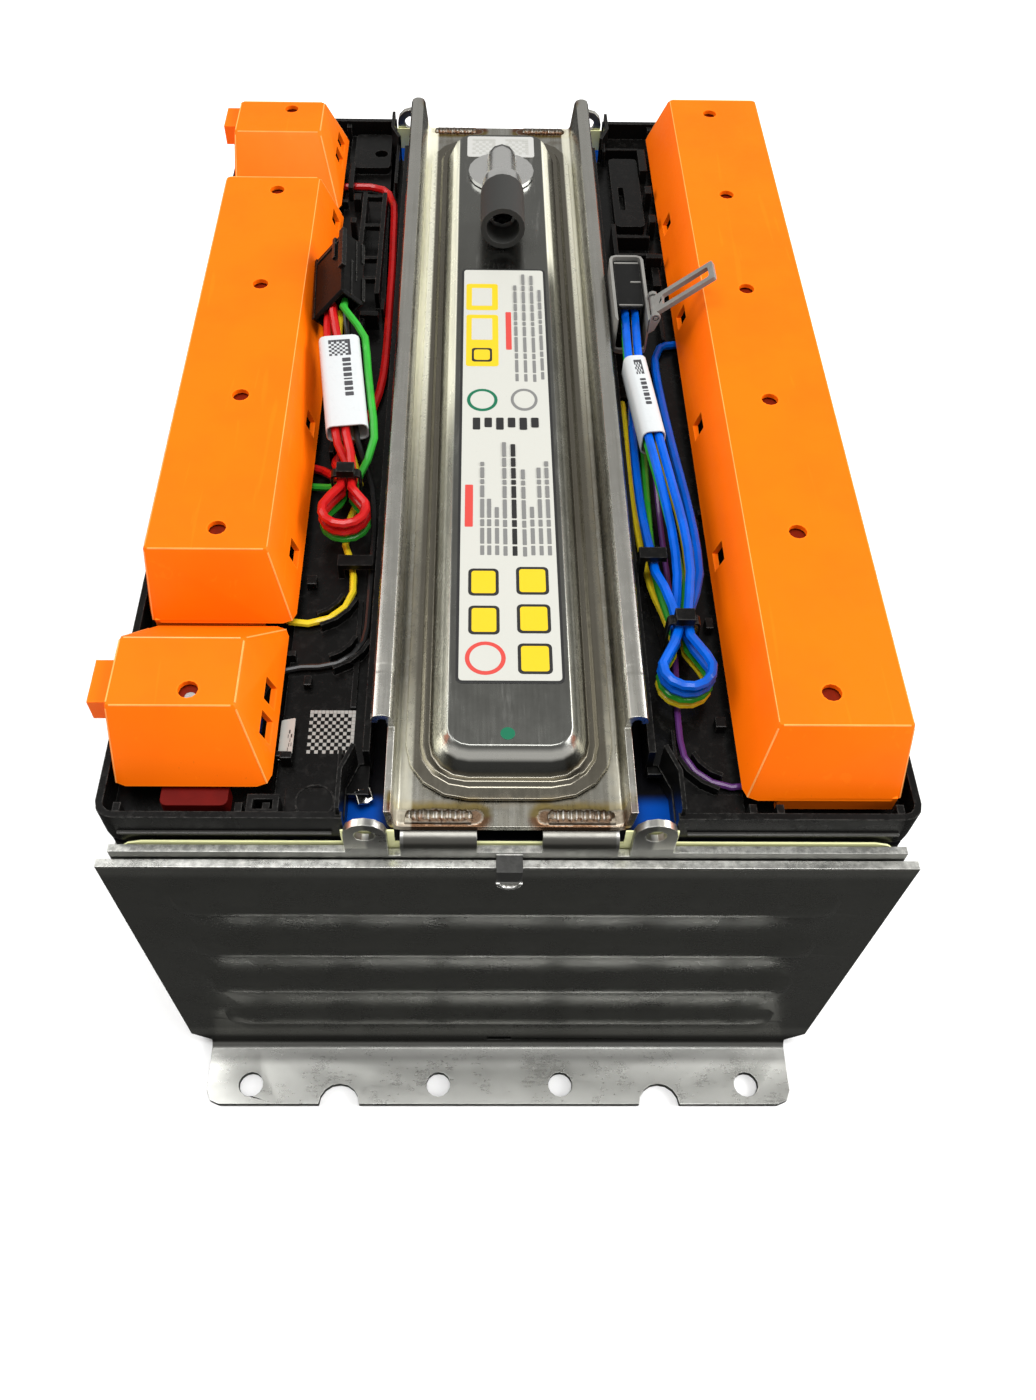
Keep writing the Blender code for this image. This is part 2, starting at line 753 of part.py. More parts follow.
def outer_plate_mesh():
    """The mid surface: a face with beads, a bend and a flange, narrowed below the face."""
    wide = end_width / 2
    narrow = wide - END_CORNER_CUT
    bend = FLANGE_BEND + OUTER_SHEET / 2
    turn = OUTER_SHEET / 2 + bend
    face = OUTER_SHEET / 2 - outer_face
    edge = -outer_face - FLANGE_REACH
    rows = [(face, end_height, wide, 0)]
    rows += [(face, z, wide, depth_share) for z, depth_share in bead_rows()]
    rows.append((face, turn + END_CORNER_CUT, wide, 0))
    for y, z in arc((face - bend, turn), bend, 0, -90, 3):
        rows.append((y, z, narrow, 0))
    for y, x in arc((edge + FLANGE_CORNER, narrow - FLANGE_CORNER), FLANGE_CORNER, 90, 180, 2):
        rows.append((y, OUTER_SHEET / 2, x, 0))
    straight = bead_length / 2 - BEAD_END
    columns = [(straight + BEAD_END * math.sin(a), math.cos(a)) for a in (0, math.pi / 4, math.pi / 2)]
    columns.append((wide, 0))
    columns = [(-x, depth_share) for x, depth_share in reversed(columns)] + columns
    bm = bmesh.new()
    grid = []
    for y, z, half, row_share in rows:
        line = []
        for x, column_share in columns:
            out = BEAD_DEPTH * row_share * column_share
            line.append(bm.verts.new((x * half / wide, y - out, z)))
        grid.append(line)
    for upper, lower in zip(grid, grid[1:]):
        for k in range(len(columns) - 1):
            bm.faces.new((upper[k], lower[k], lower[k + 1], upper[k + 1]))
    return to_mesh(bm, "outer_plate")


def outer_plate_cuts():
    through = (-CUT_OVERRUN, OUTER_SHEET + CUT_OVERRUN)
    edge = -outer_face - FLANGE_REACH
    cuts = []
    for reach in (FLANGE_HOLE_INNER, flange_hole_outer):
        for x in (-reach, reach):
            y = -outer_face - FLANGE_HOLE_SETBACK
            cuts.append(cylinder(FLANGE_HOLE_RADIUS, (x, y, through[0]), (x, y, through[1]), segments=14))
    for x in (-flange_notch_reach, flange_notch_reach):
        cuts.append(cylinder(FLANGE_NOTCH_RADIUS, (x, edge, through[0]), (x, edge, through[1])))
    slot = OUTER_SHEET + FLANGE_BEND
    low = (-RELIEF_LENGTH / 2, -outer_face - CUT_OVERRUN, slot)
    high = (RELIEF_LENGTH / 2, -outer_face + OUTER_SHEET + CUT_OVERRUN, slot + RELIEF_HEIGHT)
    cuts.append(box(low, high))
    return cuts


def inner_plate_outline():
    top = end_height + INNER_RISE
    ear_inner = EAR_REACH - EAR_RADIUS
    ear_top = top + EAR_RISE
    tab_top = channel_base - CLEARANCE - INNER_SHEET - TAB_BEND
    points = [(TAB_INNER, top), (TAB_INNER, tab_top), (TAB_OUTER, tab_top)]
    points += [(TAB_OUTER, top - TAB_NOTCH_DEPTH), (ear_inner, top - TAB_NOTCH_DEPTH)]
    points += arc((EAR_REACH, ear_top), EAR_RADIUS, 180, 0, 6)
    points += [(EAR_REACH + EAR_RADIUS, top), (inner_width / 2, top), (inner_width / 2, cell_base)]
    return mirrored(points)


def ear_holes():
    ear_top = end_height + INNER_RISE + EAR_RISE
    return [
        arc((x, ear_top), EAR_HOLE_RADIUS, 0, 324, 9) for x in (-EAR_REACH, EAR_REACH)
    ]


def tab_section():
    """The folded tab from its side: up the plate, round the bend and back under the channel."""
    top = channel_base - CLEARANCE
    outer = TAB_BEND + INNER_SHEET
    front = -inner_face
    back = front + INNER_SHEET
    foot = end_height + INNER_RISE - TAB_NOTCH_DEPTH
    centre = (front + outer, top - outer)
    points = [(front, foot)] + arc(centre, outer, 180, 90, 4)
    points += [(front + TAB_FOLD, top), (front + TAB_FOLD, top - INNER_SHEET)]
    points += arc(centre, TAB_BEND, 90, 180, 3) + [(back, foot)]
    return points


def tongue_meshes():
    """The bridge over the outer plate's edge, and the leg that hooks down in front of it."""
    half = TONGUE_WIDTH / 2
    low = end_height + CLEARANCE
    top = low + INNER_SHEET
    near = -inner_face + INNER_SHEET / 2
    front = -outer_face - CLEARANCE
    bridge = box((-half, front - INNER_SHEET, low), (half, near, top))
    end = end_height - TONGUE_DROP
    leg = [(half, top), (-half, top)] + arc((0, end + half), half, 180, 360, 6)
    return [bridge, prism([leg], front - INNER_SHEET, front, "Y")]


def foil_outline():
    top = end_height + INNER_RISE + FOIL_RISE
    raised = top + FOIL_SHOULDER_RISE
    half = foil_width / 2
    points = [(FOIL_SHOULDER_INNER, top), (FOIL_SHOULDER_INNER, raised)]
    points += [(FOIL_SHOULDER_OUTER, raised), (FOIL_SHOULDER_OUTER, top)]
    points += arc((half - FOIL_CORNER, top - FOIL_CORNER), FOIL_CORNER, 90, 0, 3)
    points.append((half, cell_base))
    return mirrored(points)


def build_end(end, turn):
    frame = empty(f"{end}_end", turn)
    plate = add(f"{end}_outer_end_plate", outer_plate_mesh(), "pressed_steel", frame)
    thicken(plate, OUTER_SHEET, 0)
    boolean(plate, "DIFFERENCE", outer_plate_cuts())
    smooth(plate)
    outline = [inner_plate_outline(), *ear_holes()]
    inner = prism(outline, -inner_face, -inner_face + INNER_SHEET, "Y")
    inner = add(f"{end}_inner_end_plate", inner, "bright_steel", frame)
    tabs = [
        prism([tab_section()], *sorted((side * TAB_INNER, side * TAB_OUTER)), "X")
        for side in (-1, 1)
    ]
    boolean(inner, "UNION", tabs + tongue_meshes())
    foil = prism([foil_outline()], -foil_face, -foil_face + FOIL_THICKNESS, "Y")
    add(f"{end}_insulating_foil", foil, "yellow_foil", frame)


# Channel and vent


def channel_section():
    """The trough's underside, from the middle of its floor to the lip's edge, then mirrored."""
    bend = CHANNEL_BEND + CHANNEL_SHEET
    lip = CHANNEL_LIP_BEND
    floor_half = CHANNEL_FLOOR / 2
    top = channel_base + CHANNEL_DEPTH
    lean = math.degrees(math.atan2(CHANNEL_LEAN, CHANNEL_DEPTH))
    points = arc((floor_half, channel_base + bend), bend, -90, -lean, 3)
    turn = (points[-1][0] + CHANNEL_LEAN + lip, top - lip)
    points += arc(turn, lip, 180 - lean, 90, 2)
    edge = (turn[0] + CHANNEL_LIP, top - lip)
    points += arc(edge, lip, 90, 0, 2)
    points.append((edge[0] + lip, edge[1] - CHANNEL_LIP_DROP))
    return [(-x, z) for x, z in reversed(points)] + points


def weld_beads():
    y = -inner_face + INNER_SHEET + WELD_SETBACK
    beads = []
    for side_y in (y, -y):
        for side in (-1, 1):
            start = side * WELD_REACH - WELD_LENGTH / 2
            end = side * WELD_REACH + WELD_LENGTH / 2
            z = channel_floor - CLEARANCE
            beads.append(cylinder(WELD_RADIUS, (start, side_y, z), (end, side_y, z), "X", 8))
    return beads


def build_channel():
    half = stack_half
    section = channel_section()
    channel = add("channel", sheet(section, -half, half), "bright_steel")
    thicken(channel, CHANNEL_SHEET, -1)
    reach = section[-1][0] + CUT_OVERRUN
    cut_z = channel_base + CHANNEL_DEPTH - CHANNEL_END_DROP
    top = channel_base + CHANNEL_DEPTH + CHANNEL_SHEET + CUT_OVERRUN
    end_cut = box((-reach, -half - CUT_OVERRUN, cut_z), (reach, -half + CHANNEL_END_PLAIN, top))
    slot_half = half - DUCT_SLOT_END
    low = (-DUCT_SLOT_WIDTH / 2, -slot_half)
    slot = rounded(low, (DUCT_SLOT_WIDTH / 2, slot_half), DUCT_SLOT_CORNER, 3)
    slot = prism([slot], channel_base - CUT_OVERRUN, channel_floor + CUT_OVERRUN)
    boolean(channel, "UNION", weld_beads())
    boolean(channel, "DIFFERENCE", [end_cut, slot])
    smooth(channel)


def pan_ring(inset, height, corner):
    front = -stack_half + PAN_FRONT_SETBACK
    rear = stack_half - PAN_REAR_SETBACK
    half = PAN_WIDTH / 2
    low = (-half + inset, front + inset)
    high = (half - inset, rear - inset)
    return [(x, y, pan_base + PAN_SHEET + height) for x, y in rounded(low, high, corner, 4)]


def build_pan():
    groove_start = PAN_FLANGE
    groove_end = groove_start + PAN_GROOVE_WIDTH
    edge = PAN_EDGE
    rings = [
        pan_ring(0, 0, PAN_CORNER),
        pan_ring(groove_start, 0, PAN_CORNER - groove_start),
        pan_ring((groove_start + groove_end) / 2, 2 * PAN_GROOVE_DEPTH, PAN_CORNER - groove_end),
        pan_ring(groove_end, PAN_GROOVE_DEPTH, PAN_CORNER - groove_end),
        pan_ring(PAN_TOP_INSET - edge, PAN_RISE - edge, PAN_CORNER - PAN_TOP_INSET + edge),
        pan_ring(PAN_TOP_INSET, PAN_RISE, PAN_CORNER - PAN_TOP_INSET),
    ]
    pan = add("vent_pan", loft(rings), "bright_steel")
    thicken(pan, PAN_SHEET, -1)
    y = stack_half - VENT_SETBACK
    bore = VENT_PIPE_RADIUS - VENT_PIPE_WALL
    hole = cylinder(bore, (0, y, pan_base), (0, y, pan_top + CUT_OVERRUN), segments=12)
    boolean(pan, "DIFFERENCE", [hole])
    smooth(pan)


def build_vent():
    y = stack_half - VENT_SETBACK
    base = pan_top + CLEARANCE
    axis = base + VENT_AXIS_RISE
    bend = [(0, y - VENT_BEND + a, axis - VENT_BEND + b) for a, b in arc((0, 0), VENT_BEND, 0, 90, 4)]
    path = [(0, y, base), *bend, (0, y - VENT_PIPE_REACH, axis)]
    elbow = add("vent_elbow", tube(path, VENT_PIPE_RADIUS, 4), "bright_steel")
    disc = cylinder(VENT_DISC_RADIUS, (0, y, base), (0, y, base + VENT_DISC_HEIGHT), segments=20)
    boolean(elbow, "UNION", [disc])
    overrun = CUT_OVERRUN
    inside = [(0, y, base - overrun), *bend, (0, y - VENT_PIPE_REACH - overrun, axis)]
    boolean(elbow, "DIFFERENCE", [tube(inside, VENT_PIPE_RADIUS - VENT_PIPE_WALL, 2)])
    smooth(elbow)
    start = y - CLAMP_REACH
    clamp = ring("clamp_ring", CLAMP_RADIUS, VENT_PIPE_RADIUS + CLEARANCE, start - CLAMP_LENGTH, start, axis)
    end = start - CLAMP_LENGTH - CLEARANCE
    sleeve = ring("vent_sleeve", SLEEVE_RADIUS, VENT_PIPE_RADIUS + CLEARANCE, end - SLEEVE_LENGTH, end, axis)
    clamp.data.materials[0] = materials["bright_steel"]
    sleeve.data.materials[0] = materials["black_rubber"]


def ring(name, outer, inner, low, high, z):
    """A round ring or sleeve about a line along Y."""
    outlines = [arc((0, 0), radius, 0, 342, 19) for radius in (outer, inner)]
    obj = add(name, prism(outlines, low, high, "Y"), "black_rubber", location=(0, 0, z))
    smooth(obj)
    return obj


# Carriers


def carrier_windows(side):
    """Openings over the cells' terminals."""
    half_x = TERMINAL_WIDTH / 2 + CARRIER_WINDOW_GAP
    half_y = TERMINAL_LENGTH / 2 + CARRIER_WINDOW_GAP
    x = side * terminal_reach
    low = tray_base - CUT_OVERRUN
    high = tray_floor + CUT_OVERRUN
    return [
        box((x - half_x, cell_centre(k) - half_y, low), (x + half_x, cell_centre(k) + half_y, high))
        for k in range(CELL_COUNT)
    ]


def mouth_outline(end):
    """The opening beside the channel at one end, where the cell's film shows."""
    edge = carrier_half + CUT_OVERRUN
    inner = CARRIER_INNER - CUT_OVERRUN
    outer = CARRIER_INNER + MOUTH_WIDTH
    length = carrier_half - MOUTH_LENGTH
    return [
        (inner, end * edge),
        (outer, end * edge),
        (outer, end * (length + MOUTH_SLANT)),
        (CARRIER_INNER + MOUTH_WIDTH / 2, end * length),
        (inner, end * length),
    ]


def strip(points, width):
    """An even strip along a line of points, as a closed outline."""
    half = width / 2
    path = [Vector(point) for point in points]
    left = []
    right = []
    for k, point in enumerate(path):
        before = path[max(k - 1, 0)]
        after = path[min(k + 1, len(path) - 1)]
        along = (after - before).normalized()
        across = Vector((-along.y, along.x)) * half
        left.append(tuple(point + across))
        right.append(tuple(point - across))
    return left + right[::-1]


def flip(points, side):
    """The outline on the right of the module, or its mirror on the left for side -1."""
    return [(side * x, y) for x, y in points]


def box_on(side, low, high):
    """A box on the right of the module, or its mirror on the left for side -1."""
    if side > 0:
        return box(low, high)
    return box((-high[0], low[1], low[2]), (-low[0], high[1], high[2]))


def clip_meshes(side, post_x, tip_x, y, height):
    """A hook over the wires: a post beside them and an arm across to its tip."""
    foot = deck_top - CUT_OVERRUN
    top = deck_top + height
    front = y - CLIP_WIDTH / 2
    rear = y + CLIP_WIDTH / 2
    post = box_on(side, (post_x, front, foot), (post_x + CLIP_POST, rear, top + CLIP_POST))
    reach = sorted((post_x + CLIP_POST / 2, tip_x))
    return [post, box_on(side, (reach[0], front, top), (reach[1], rear, top + CLIP_POST))]


def guide_path(centre, radius):
    """A quarter turn from along the module to outwards."""
    return arc(centre, radius, 180, 270, 5)


def guide_walls(side, centre):
    """Two curved walls with the wire between them."""
    walls = []
    for radius in (GUIDE_RADIUS - GUIDE_HALF_GAP, GUIDE_RADIUS + GUIDE_HALF_GAP):
        path = guide_path(centre, radius)[1:-1]
        outline = flip(strip(path, GUIDE_WALL), side)
        walls.append(prism([outline], deck_top - CUT_OVERRUN, deck_top + GUIDE_HEIGHT))
    return walls


def mouth_wall(side, end):
    """The upright wall along an opening's slanted edge."""
    _, outer, turn, inner, _ = mouth_outline(end)
    line = [(outer[0], end * (carrier_half - CARRIER_WALL / 2)), turn, inner]
    line = [(x + MOUTH_WALL / 2 + CLEARANCE, y) for x, y in line]
    outline = flip(strip(line, MOUTH_WALL), side)
    return prism([outline], deck_top - CUT_OVERRUN, deck_top + MOUTH_WALL_HEIGHT)


def pegs(side):
    """Posts between the front and rear rims and the cover's ends."""
    near = cover_half + COVER_WALL
    base = tray_floor - CUT_OVERRUN
    top = tray_floor + PEG_HEIGHT
    first = cover_inner + PEG_WIDTH
    made = []
    for x in (first, first + PEG_GAP, cover_outer - PEG_WIDTH):
        for end in (-1, 1):
            places = sorted((end * near, end * (near + PEG_LENGTH)))
            low = (x - PEG_WIDTH / 2, places[0], base)
            made.append(box_on(side, low, (x + PEG_WIDTH / 2, places[1], top)))
    return made


def rack(side):
    """Two rails with rungs between them, standing on the deck."""
    near, far = RACK_SPAN
    start, end = RACK_ENDS
    foot = deck_top - CUT_OVERRUN
    top = deck_top + RACK_RISE
    made = []
    for x in (near, far - RACK_RAIL):
        made.append(box_on(side, (x, start, foot), (x + RACK_RAIL, end, top)))
    for y in RACK_RUNGS:
        low = (near + RACK_RAIL / 2, y - RACK_RAIL / 2, top - RACK_RUNG)
        made.append(box_on(side, low, (far - RACK_RAIL / 2, y + RACK_RAIL / 2, top - CLEARANCE)))
    return made


def left_pad():
    """A raised field with a round hole."""
    outlines = [rounded(*LEFT_PAD, PAD_CORNER, 2), arc(LEFT_PAD_HOLE, LEFT_PAD_HOLE_RADIUS, 0, 330, 11)]
    outlines = [flip(outline, -1) for outline in outlines]
    return prism(outlines, deck_top - CUT_OVERRUN, deck_top + LEFT_PAD_RISE)


def right_pad():
    """A raised field with a long slot."""
    outlines = [rounded(*RIGHT_PAD, PAD_CORNER, 2), rounded(*RIGHT_PAD_SLOT, PAD_SLOT_CORNER, 2)]
    return prism(outlines, deck_top - CUT_OVERRUN, deck_top + RIGHT_PAD_RISE)


def rim_clip(end):
    """A square eye behind the left carrier's rim."""
    edge = carrier_half - CARRIER_WALL / 2
    ends = sorted((end * edge, end * (edge - RIM_CLIP_LENGTH)))
    inner = sorted((end * (edge - CARRIER_WALL), end * (edge - RIM_CLIP_LENGTH + RIM_CLIP_WALL)))
    low = terminal_reach - RIM_CLIP_INSET - RIM_CLIP_HALF
    high = low + 2 * RIM_CLIP_HALF
    outer = [(low, ends[0]), (high, ends[0]), (high, ends[1]), (low, ends[1])]
    wall = RIM_CLIP_WALL
    eye = [(low + wall, inner[0]), (high - wall, inner[0]), (high - wall, inner[1]), (low + wall, inner[1])]
    return prism([flip(outer, -1), flip(eye, -1)], tray_floor - CUT_OVERRUN / 2, rim_top - CLEARANCE)


def pocket(side, x, y, width, length):
    """A rectangular recess in the deck."""
    low = (x - width / 2, y - length / 2, deck_top - POCKET_DEPTH)
    return box_on(side, low, (x + width / 2, y + length / 2, deck_top + CUT_OVERRUN))


def carrier(name, side, rib_places, fittings, pockets):
    half = carrier_half
    wall = CARRIER_WALL
    low = (CARRIER_INNER, -half)
    high = (carrier_outer, half)
    outer = rounded(low, high, CARRIER_CORNER, 3)
    inner_low = (low[0] + wall, low[1] + wall)
    inner = rounded(inner_low, (high[0] - wall, high[1] - wall), CARRIER_CORNER - wall, 3)
    tray = add(name, prism([flip(outer, side)], tray_base, rim_top), "black_plastic")
    hollow = prism([flip(inner, side)], tray_floor, rim_top + CUT_OVERRUN)
    boolean(tray, "DIFFERENCE", [hollow])
    deck_low = (CARRIER_INNER + wall / 2, -half + wall / 2, tray_base + wall / 2)
    deck = box_on(side, deck_low, (deck_edge, half - wall / 2, deck_top))
    ribs = []
    for y in rib_places:
        low = (deck_edge - wall, y - RIB_THICKNESS / 2, tray_base + wall / 2)
        high = (carrier_outer - wall / 2, y + RIB_THICKNESS / 2, tray_floor + RIB_HEIGHT)
        ribs.append(box_on(side, low, high))
    boolean(tray, "UNION", [deck, *ribs, *pegs(side)])
    mouths = [
        prism([flip(mouth_outline(end), side)], tray_base - CUT_OVERRUN, rim_top + CUT_OVERRUN)
        for end in (-1, 1)
    ]
    boolean(tray, "DIFFERENCE", carrier_windows(side) + mouths + pockets)
    boolean(tray, "UNION", [mouth_wall(side, -1), mouth_wall(side, 1), *fittings])


def frame_rest():
    """The post under the right connector's frame."""
    x, y, base = frame_place
    low = (x - REST_WIDTH / 2, y - REST_LENGTH / 2, deck_top - CUT_OVERRUN)
    return box(low, (x + REST_WIDTH / 2, y + REST_LENGTH / 2, base - CLEARANCE))


def left_rest():
    """A post with a notch for the left connector's lowest edge."""
    x, y, z = left_connector_place
    across = Vector((math.cos(LEFT_CONNECTOR_ROLL), math.sin(LEFT_CONNECTOR_ROLL)))
    up = Vector((-across.y, across.x))
    half_width = LEFT_CONNECTOR_WIDTH / 2 + CLEARANCE
    half_height = LEFT_CONNECTOR_HEIGHT / 2 + CLEARANCE
    corner = Vector((x, z)) - across * half_width - up * half_height
    left = corner + up * REST_OUTER_LIP
    right = corner + across * REST_INNER_LIP
    foot = deck_top - CUT_OVERRUN
    outline = [(left.x, foot), (right.x, foot), tuple(right), tuple(corner), tuple(left)]
    post = prism([outline], y - REST_LENGTH / 2, y + REST_LENGTH / 2, "Y")
    centre = Matrix.Translation((x, y, 0))
    post.transform(centre @ Matrix.Rotation(LEFT_CONNECTOR_YAW, 4, "Z") @ centre.inverted())
    return post


def build_carriers():
    middle = (CARRIER_INNER + CARRIER_WALL + deck_edge) / 2
    between = [(cell_centre(k) + cell_centre(k + 1)) / 2 for k in range(CELL_COUNT - 1)]
    right_pockets = [
        pocket(1, middle, cell_centre(CELL_COUNT - 2), POCKET_WIDTH, POCKET_LENGTH),
        pocket(1, *SENSE_POCKET_PLACE, SENSE_POCKET_WIDTH, SENSE_POCKET_LENGTH),
    ]
    right_fittings = guide_walls(1, RIGHT_GUIDE) + clip_meshes(1, *RIGHT_CLIP)
    right_fittings += [frame_rest(), right_pad()]
    carrier("right_carrier", 1, [between[1], between[3]], right_fittings, right_pockets)
    left_fittings = guide_walls(-1, LEFT_YELLOW_GUIDE) + guide_walls(-1, LEFT_BLACK_GUIDE)
    left_fittings += clip_meshes(-1, *LEFT_CLIP) + rack(-1)
    left_fittings += [left_rest(), left_pad(), rim_clip(-1)]
    carrier("left_carrier", -1, between[::2], left_fittings, [])


# Covers


def cover_rings(low, high, top_low, top_high):
    """Rings from the rim up the slopes and over the softened ridge."""
    soft = COVER_RIDGE
    radius = COVER_CORNER
    height = cover_top - cover_base
    near = soft / height

    def level(share, z, corner):
        a = [low[k] + (top_low[k] - low[k]) * share for k in (0, 1)]
        b = [high[k] + (top_high[k] - high[k]) * share for k in (0, 1)]
        return [(x, y, z) for x, y in rounded(a, b, corner, 2)]

    inside = soft / 2
    top = rounded(
        (top_low[0] + inside, top_low[1] + inside), (top_high[0] - inside, top_high[1] - inside), soft, 2
    )
    return [
        level(0, cover_base, radius),
        level(1 - near, cover_top - soft, radius / 2),
        [(x, y, cover_top) for x, y in top],
    ]


def cover(name, low, high, top_low, top_high, cells, windows, notches=()):
    """An orange cover over some cells, on the right for positive x and on the left for negative."""
    obj = add(name, loft(cover_rings(low, high, top_low, top_high)), "orange_plastic")
    thicken(obj, COVER_WALL, -1)
    side = 1 if high[0] > 0 else -1
    cuts = []
    for index in cells:
        x = side * terminal_reach
        y = cell_centre(index)
        low_z = cover_top - COVER_WALL - CUT_OVERRUN
        cuts.append(
            cylinder(COVER_HOLE_RADIUS, (x, y, low_z), (x, y, cover_top + CUT_OVERRUN), segments=12)
        )
    middle = cover_base + COVER_WINDOW_RISE
    for y in windows:
        y_low = y - COVER_WINDOW_LENGTH / 2
        y_high = y + COVER_WINDOW_LENGTH / 2
        inner = (cover_inner - CUT_OVERRUN, y_low, middle - COVER_WINDOW_HEIGHT / 2)
        reach = cover_inner + COVER_INNER_SLOPE
        cuts.append(box_on(side, inner, (reach, y_high, middle + COVER_WINDOW_HEIGHT / 2)))
    for y in notches:
        y_low = y - COVER_WINDOW_LENGTH / 2
        y_high = y + COVER_WINDOW_LENGTH / 2
        outer = (cover_outer - COVER_OUTER_SLOPE - COVER_WINDOW_REACH, y_low, cover_top - COVER_WINDOW_HEIGHT)
        cuts.append(box_on(side, outer, (cover_outer + CUT_OVERRUN, y_high, cover_top - COVER_WALL)))
    boolean(obj, "DIFFERENCE", cuts)
    return obj


def skirts(obj, side, y_front, y_rear):
    """Tongues below the cover's end walls."""
    x_low = cover_inner + COVER_SKIRT_INSET
    x_high = cover_outer - COVER_OUTER_SLOPE - COVER_RIDGE
    made = []
    for y in (y_front + CLEARANCE, y_rear - CLEARANCE - COVER_WALL):
        low = (x_low, y, cover_base - COVER_SKIRT_DROP)
        made.append(box_on(side, low, (x_high, y + COVER_WALL, cover_base + COVER_WALL / 2)))
    boolean(obj, "UNION", made)


def build_covers():
    right_low = (cover_inner, -cover_half)
    right_high = (cover_outer, cover_half)
    right_top_low = (cover_inner + COVER_INNER_SLOPE, -cover_half + COVER_END_SLOPE)
    right_top_high = (cover_outer - COVER_OUTER_SLOPE, cover_half - COVER_END_SLOPE)
    middle_cells = range(1, CELL_COUNT - 1)
    windows = [cell_centre(index) + COVER_WINDOW_SHIFT for index in middle_cells]
    corners = (right_low, right_high, right_top_low, right_top_high)
    right = cover("right_cover", *corners, range(CELL_COUNT), windows, windows)
    skirts(right, 1, -cover_half, cover_half)
    left_half = (CELL_COUNT / 2 - 1) * cell_pitch - COVER_GAP
    left = cover(
        "left_cover",
        (-cover_outer, -left_half),
        (-cover_inner, left_half),
        (-cover_outer + COVER_OUTER_SLOPE, -left_half + COVER_GAP),
        (-cover_inner - COVER_INNER_SLOPE, left_half - COVER_GAP),
        middle_cells,
        windows,
        windows,
    )
    skirts(left, -1, -left_half, left_half)
    near = left_half + COVER_SPLIT
    far = carrier_half - TERMINAL_COVER_FRONT_SETBACK
    for name, end, cell in (("front_left_cover", -1, 0), ("rear_left_cover", 1, CELL_COUNT - 1)):
        base = sorted((end * near, end * far))
        top = sorted((end * (near + TERMINAL_COVER_REAR_SLOPE), end * (far - TERMINAL_COVER_FRONT_SLOPE)))
        made = cover(
            name,
            (-terminal_cover_outer, base[0]),
            (-terminal_cover_inner, base[1]),
            (-cover_outer, top[0]),
            (-terminal_cover_inner - COVER_INNER_SLOPE - COVER_RIDGE, top[1]),
            [cell],
            [end * place for place in TERMINAL_WINDOWS],
        )
        ends = sorted((end * TERMINAL_TAB_PLACE, end * (TERMINAL_TAB_PLACE + TERMINAL_TAB_LENGTH)))
        outer = terminal_cover_outer + TERMINAL_TAB_REACH
        top_z = cover_top - COVER_WALL
        low = (cover_outer - COVER_WALL / 2, ends[0], top_z - TERMINAL_TAB_HEIGHT)
        boolean(made, "UNION", [box_on(-1, low, (outer, ends[1], top_z))])


# Current path


def build_busbars():
    pairs = [("right", 1, first) for first in range(0, CELL_COUNT - 1, 2)]
    pairs += [("left", -1, first) for first in range(1, CELL_COUNT - 2, 2)]
    for word, side, first in pairs:
        y = (cell_centre(first) + cell_centre(first + 1)) / 2
        reach = cell_pitch / 2 + BUSBAR_END
        hump = BUSBAR_HUMP_LENGTH / 2
        rise = BUSBAR_HUMP
        section = [(-reach, 0), (-hump, 0), (-hump / 2, rise), (hump / 2, rise), (hump, 0), (reach, 0)]
        half = BUSBAR_WIDTH / 2
        bar = sheet(section, -half, half, "X")
        name = f"{word}_busbar_{first // 2 + 1}"
        obj = add(name, bar, "busbar_aluminium", location=(side * terminal_reach, y, bar_base))
        thicken(obj, BUSBAR_THICKNESS, sheet_side(obj))


def sheet_side(obj):
    """The Solidify offset that grows a level sheet upwards."""
    return 1 if obj.data.polygons[0].normal.z > 0 else -1


def build_terminals():
    for word, end, cell in (("front", -1, 0), ("rear", 1, CELL_COUNT - 1)):
        y = cell_centre(cell)
        x = -terminal_reach
        half_x = BUSBAR_WIDTH / 2
        half_y = TERMINAL_BAR_LENGTH / 2
        bar = box((x - half_x, y - half_y, bar_base), (x + half_x, y + half_y, bar_top))
        add(f"{word}_terminal_bar", bar, "busbar_aluminium")
        foot = bar_top + CLEARANCE
        screw = cylinder(SCREW_RADIUS, (x, y, foot), (x, y, foot + SCREW_HEIGHT), segments=16)
        screw = add(f"{word}_terminal_screw", screw, "bright_steel")
        top = foot + SCREW_HEIGHT
        socket = cylinder(
            SCREW_SOCKET_RADIUS, (x, y, top - SCREW_SOCKET_DEPTH), (x, y, top + CUT_OVERRUN), segments=6
        )
        boolean(screw, "DIFFERENCE", [socket])
        smooth(screw)
        outer = carrier_half - CARRIER_WALL - BLOCK_SETBACK
        places = sorted((end * outer, end * (outer - BLOCK_LENGTH)))
        low = (x - BLOCK_WIDTH / 2, places[0])
        outline = rounded(low, (x + BLOCK_WIDTH / 2, places[1]), BLOCK_CORNER, 3)
        block = prism([outline], tray_floor + CLEARANCE, cover_base - COVER_WALL)
        add(f"{word}_terminal_block", block, "red_plastic")


# Connectors


def build_left_connector():
    half = Vector((LEFT_CONNECTOR_WIDTH, LEFT_CONNECTOR_LENGTH, LEFT_CONNECTOR_HEIGHT)) / 2
    body = add(
        "left_connector",
        box(-half, half),
        "black_plastic",
        location=left_connector_place,
        rotation=left_connector_turn,
    )
    bevel(body, LEFT_CONNECTOR_EDGE)
    wall = LEFT_POCKET_WALL
    low = (-half.x + wall, -half.y - CUT_OVERRUN, -half.z + wall)
    high = (half.x - wall, -half.y + LEFT_POCKET_DEPTH, half.z - wall)
    boolean(body, "DIFFERENCE", [box(low, high)])


def frame_outline(inset):
    half_x = FRAME_WIDTH / 2 - inset
    half_y = FRAME_LENGTH / 2 - inset
    return rounded((-half_x, -half_y), (half_x, half_y), FRAME_CORNER - inset, 2)


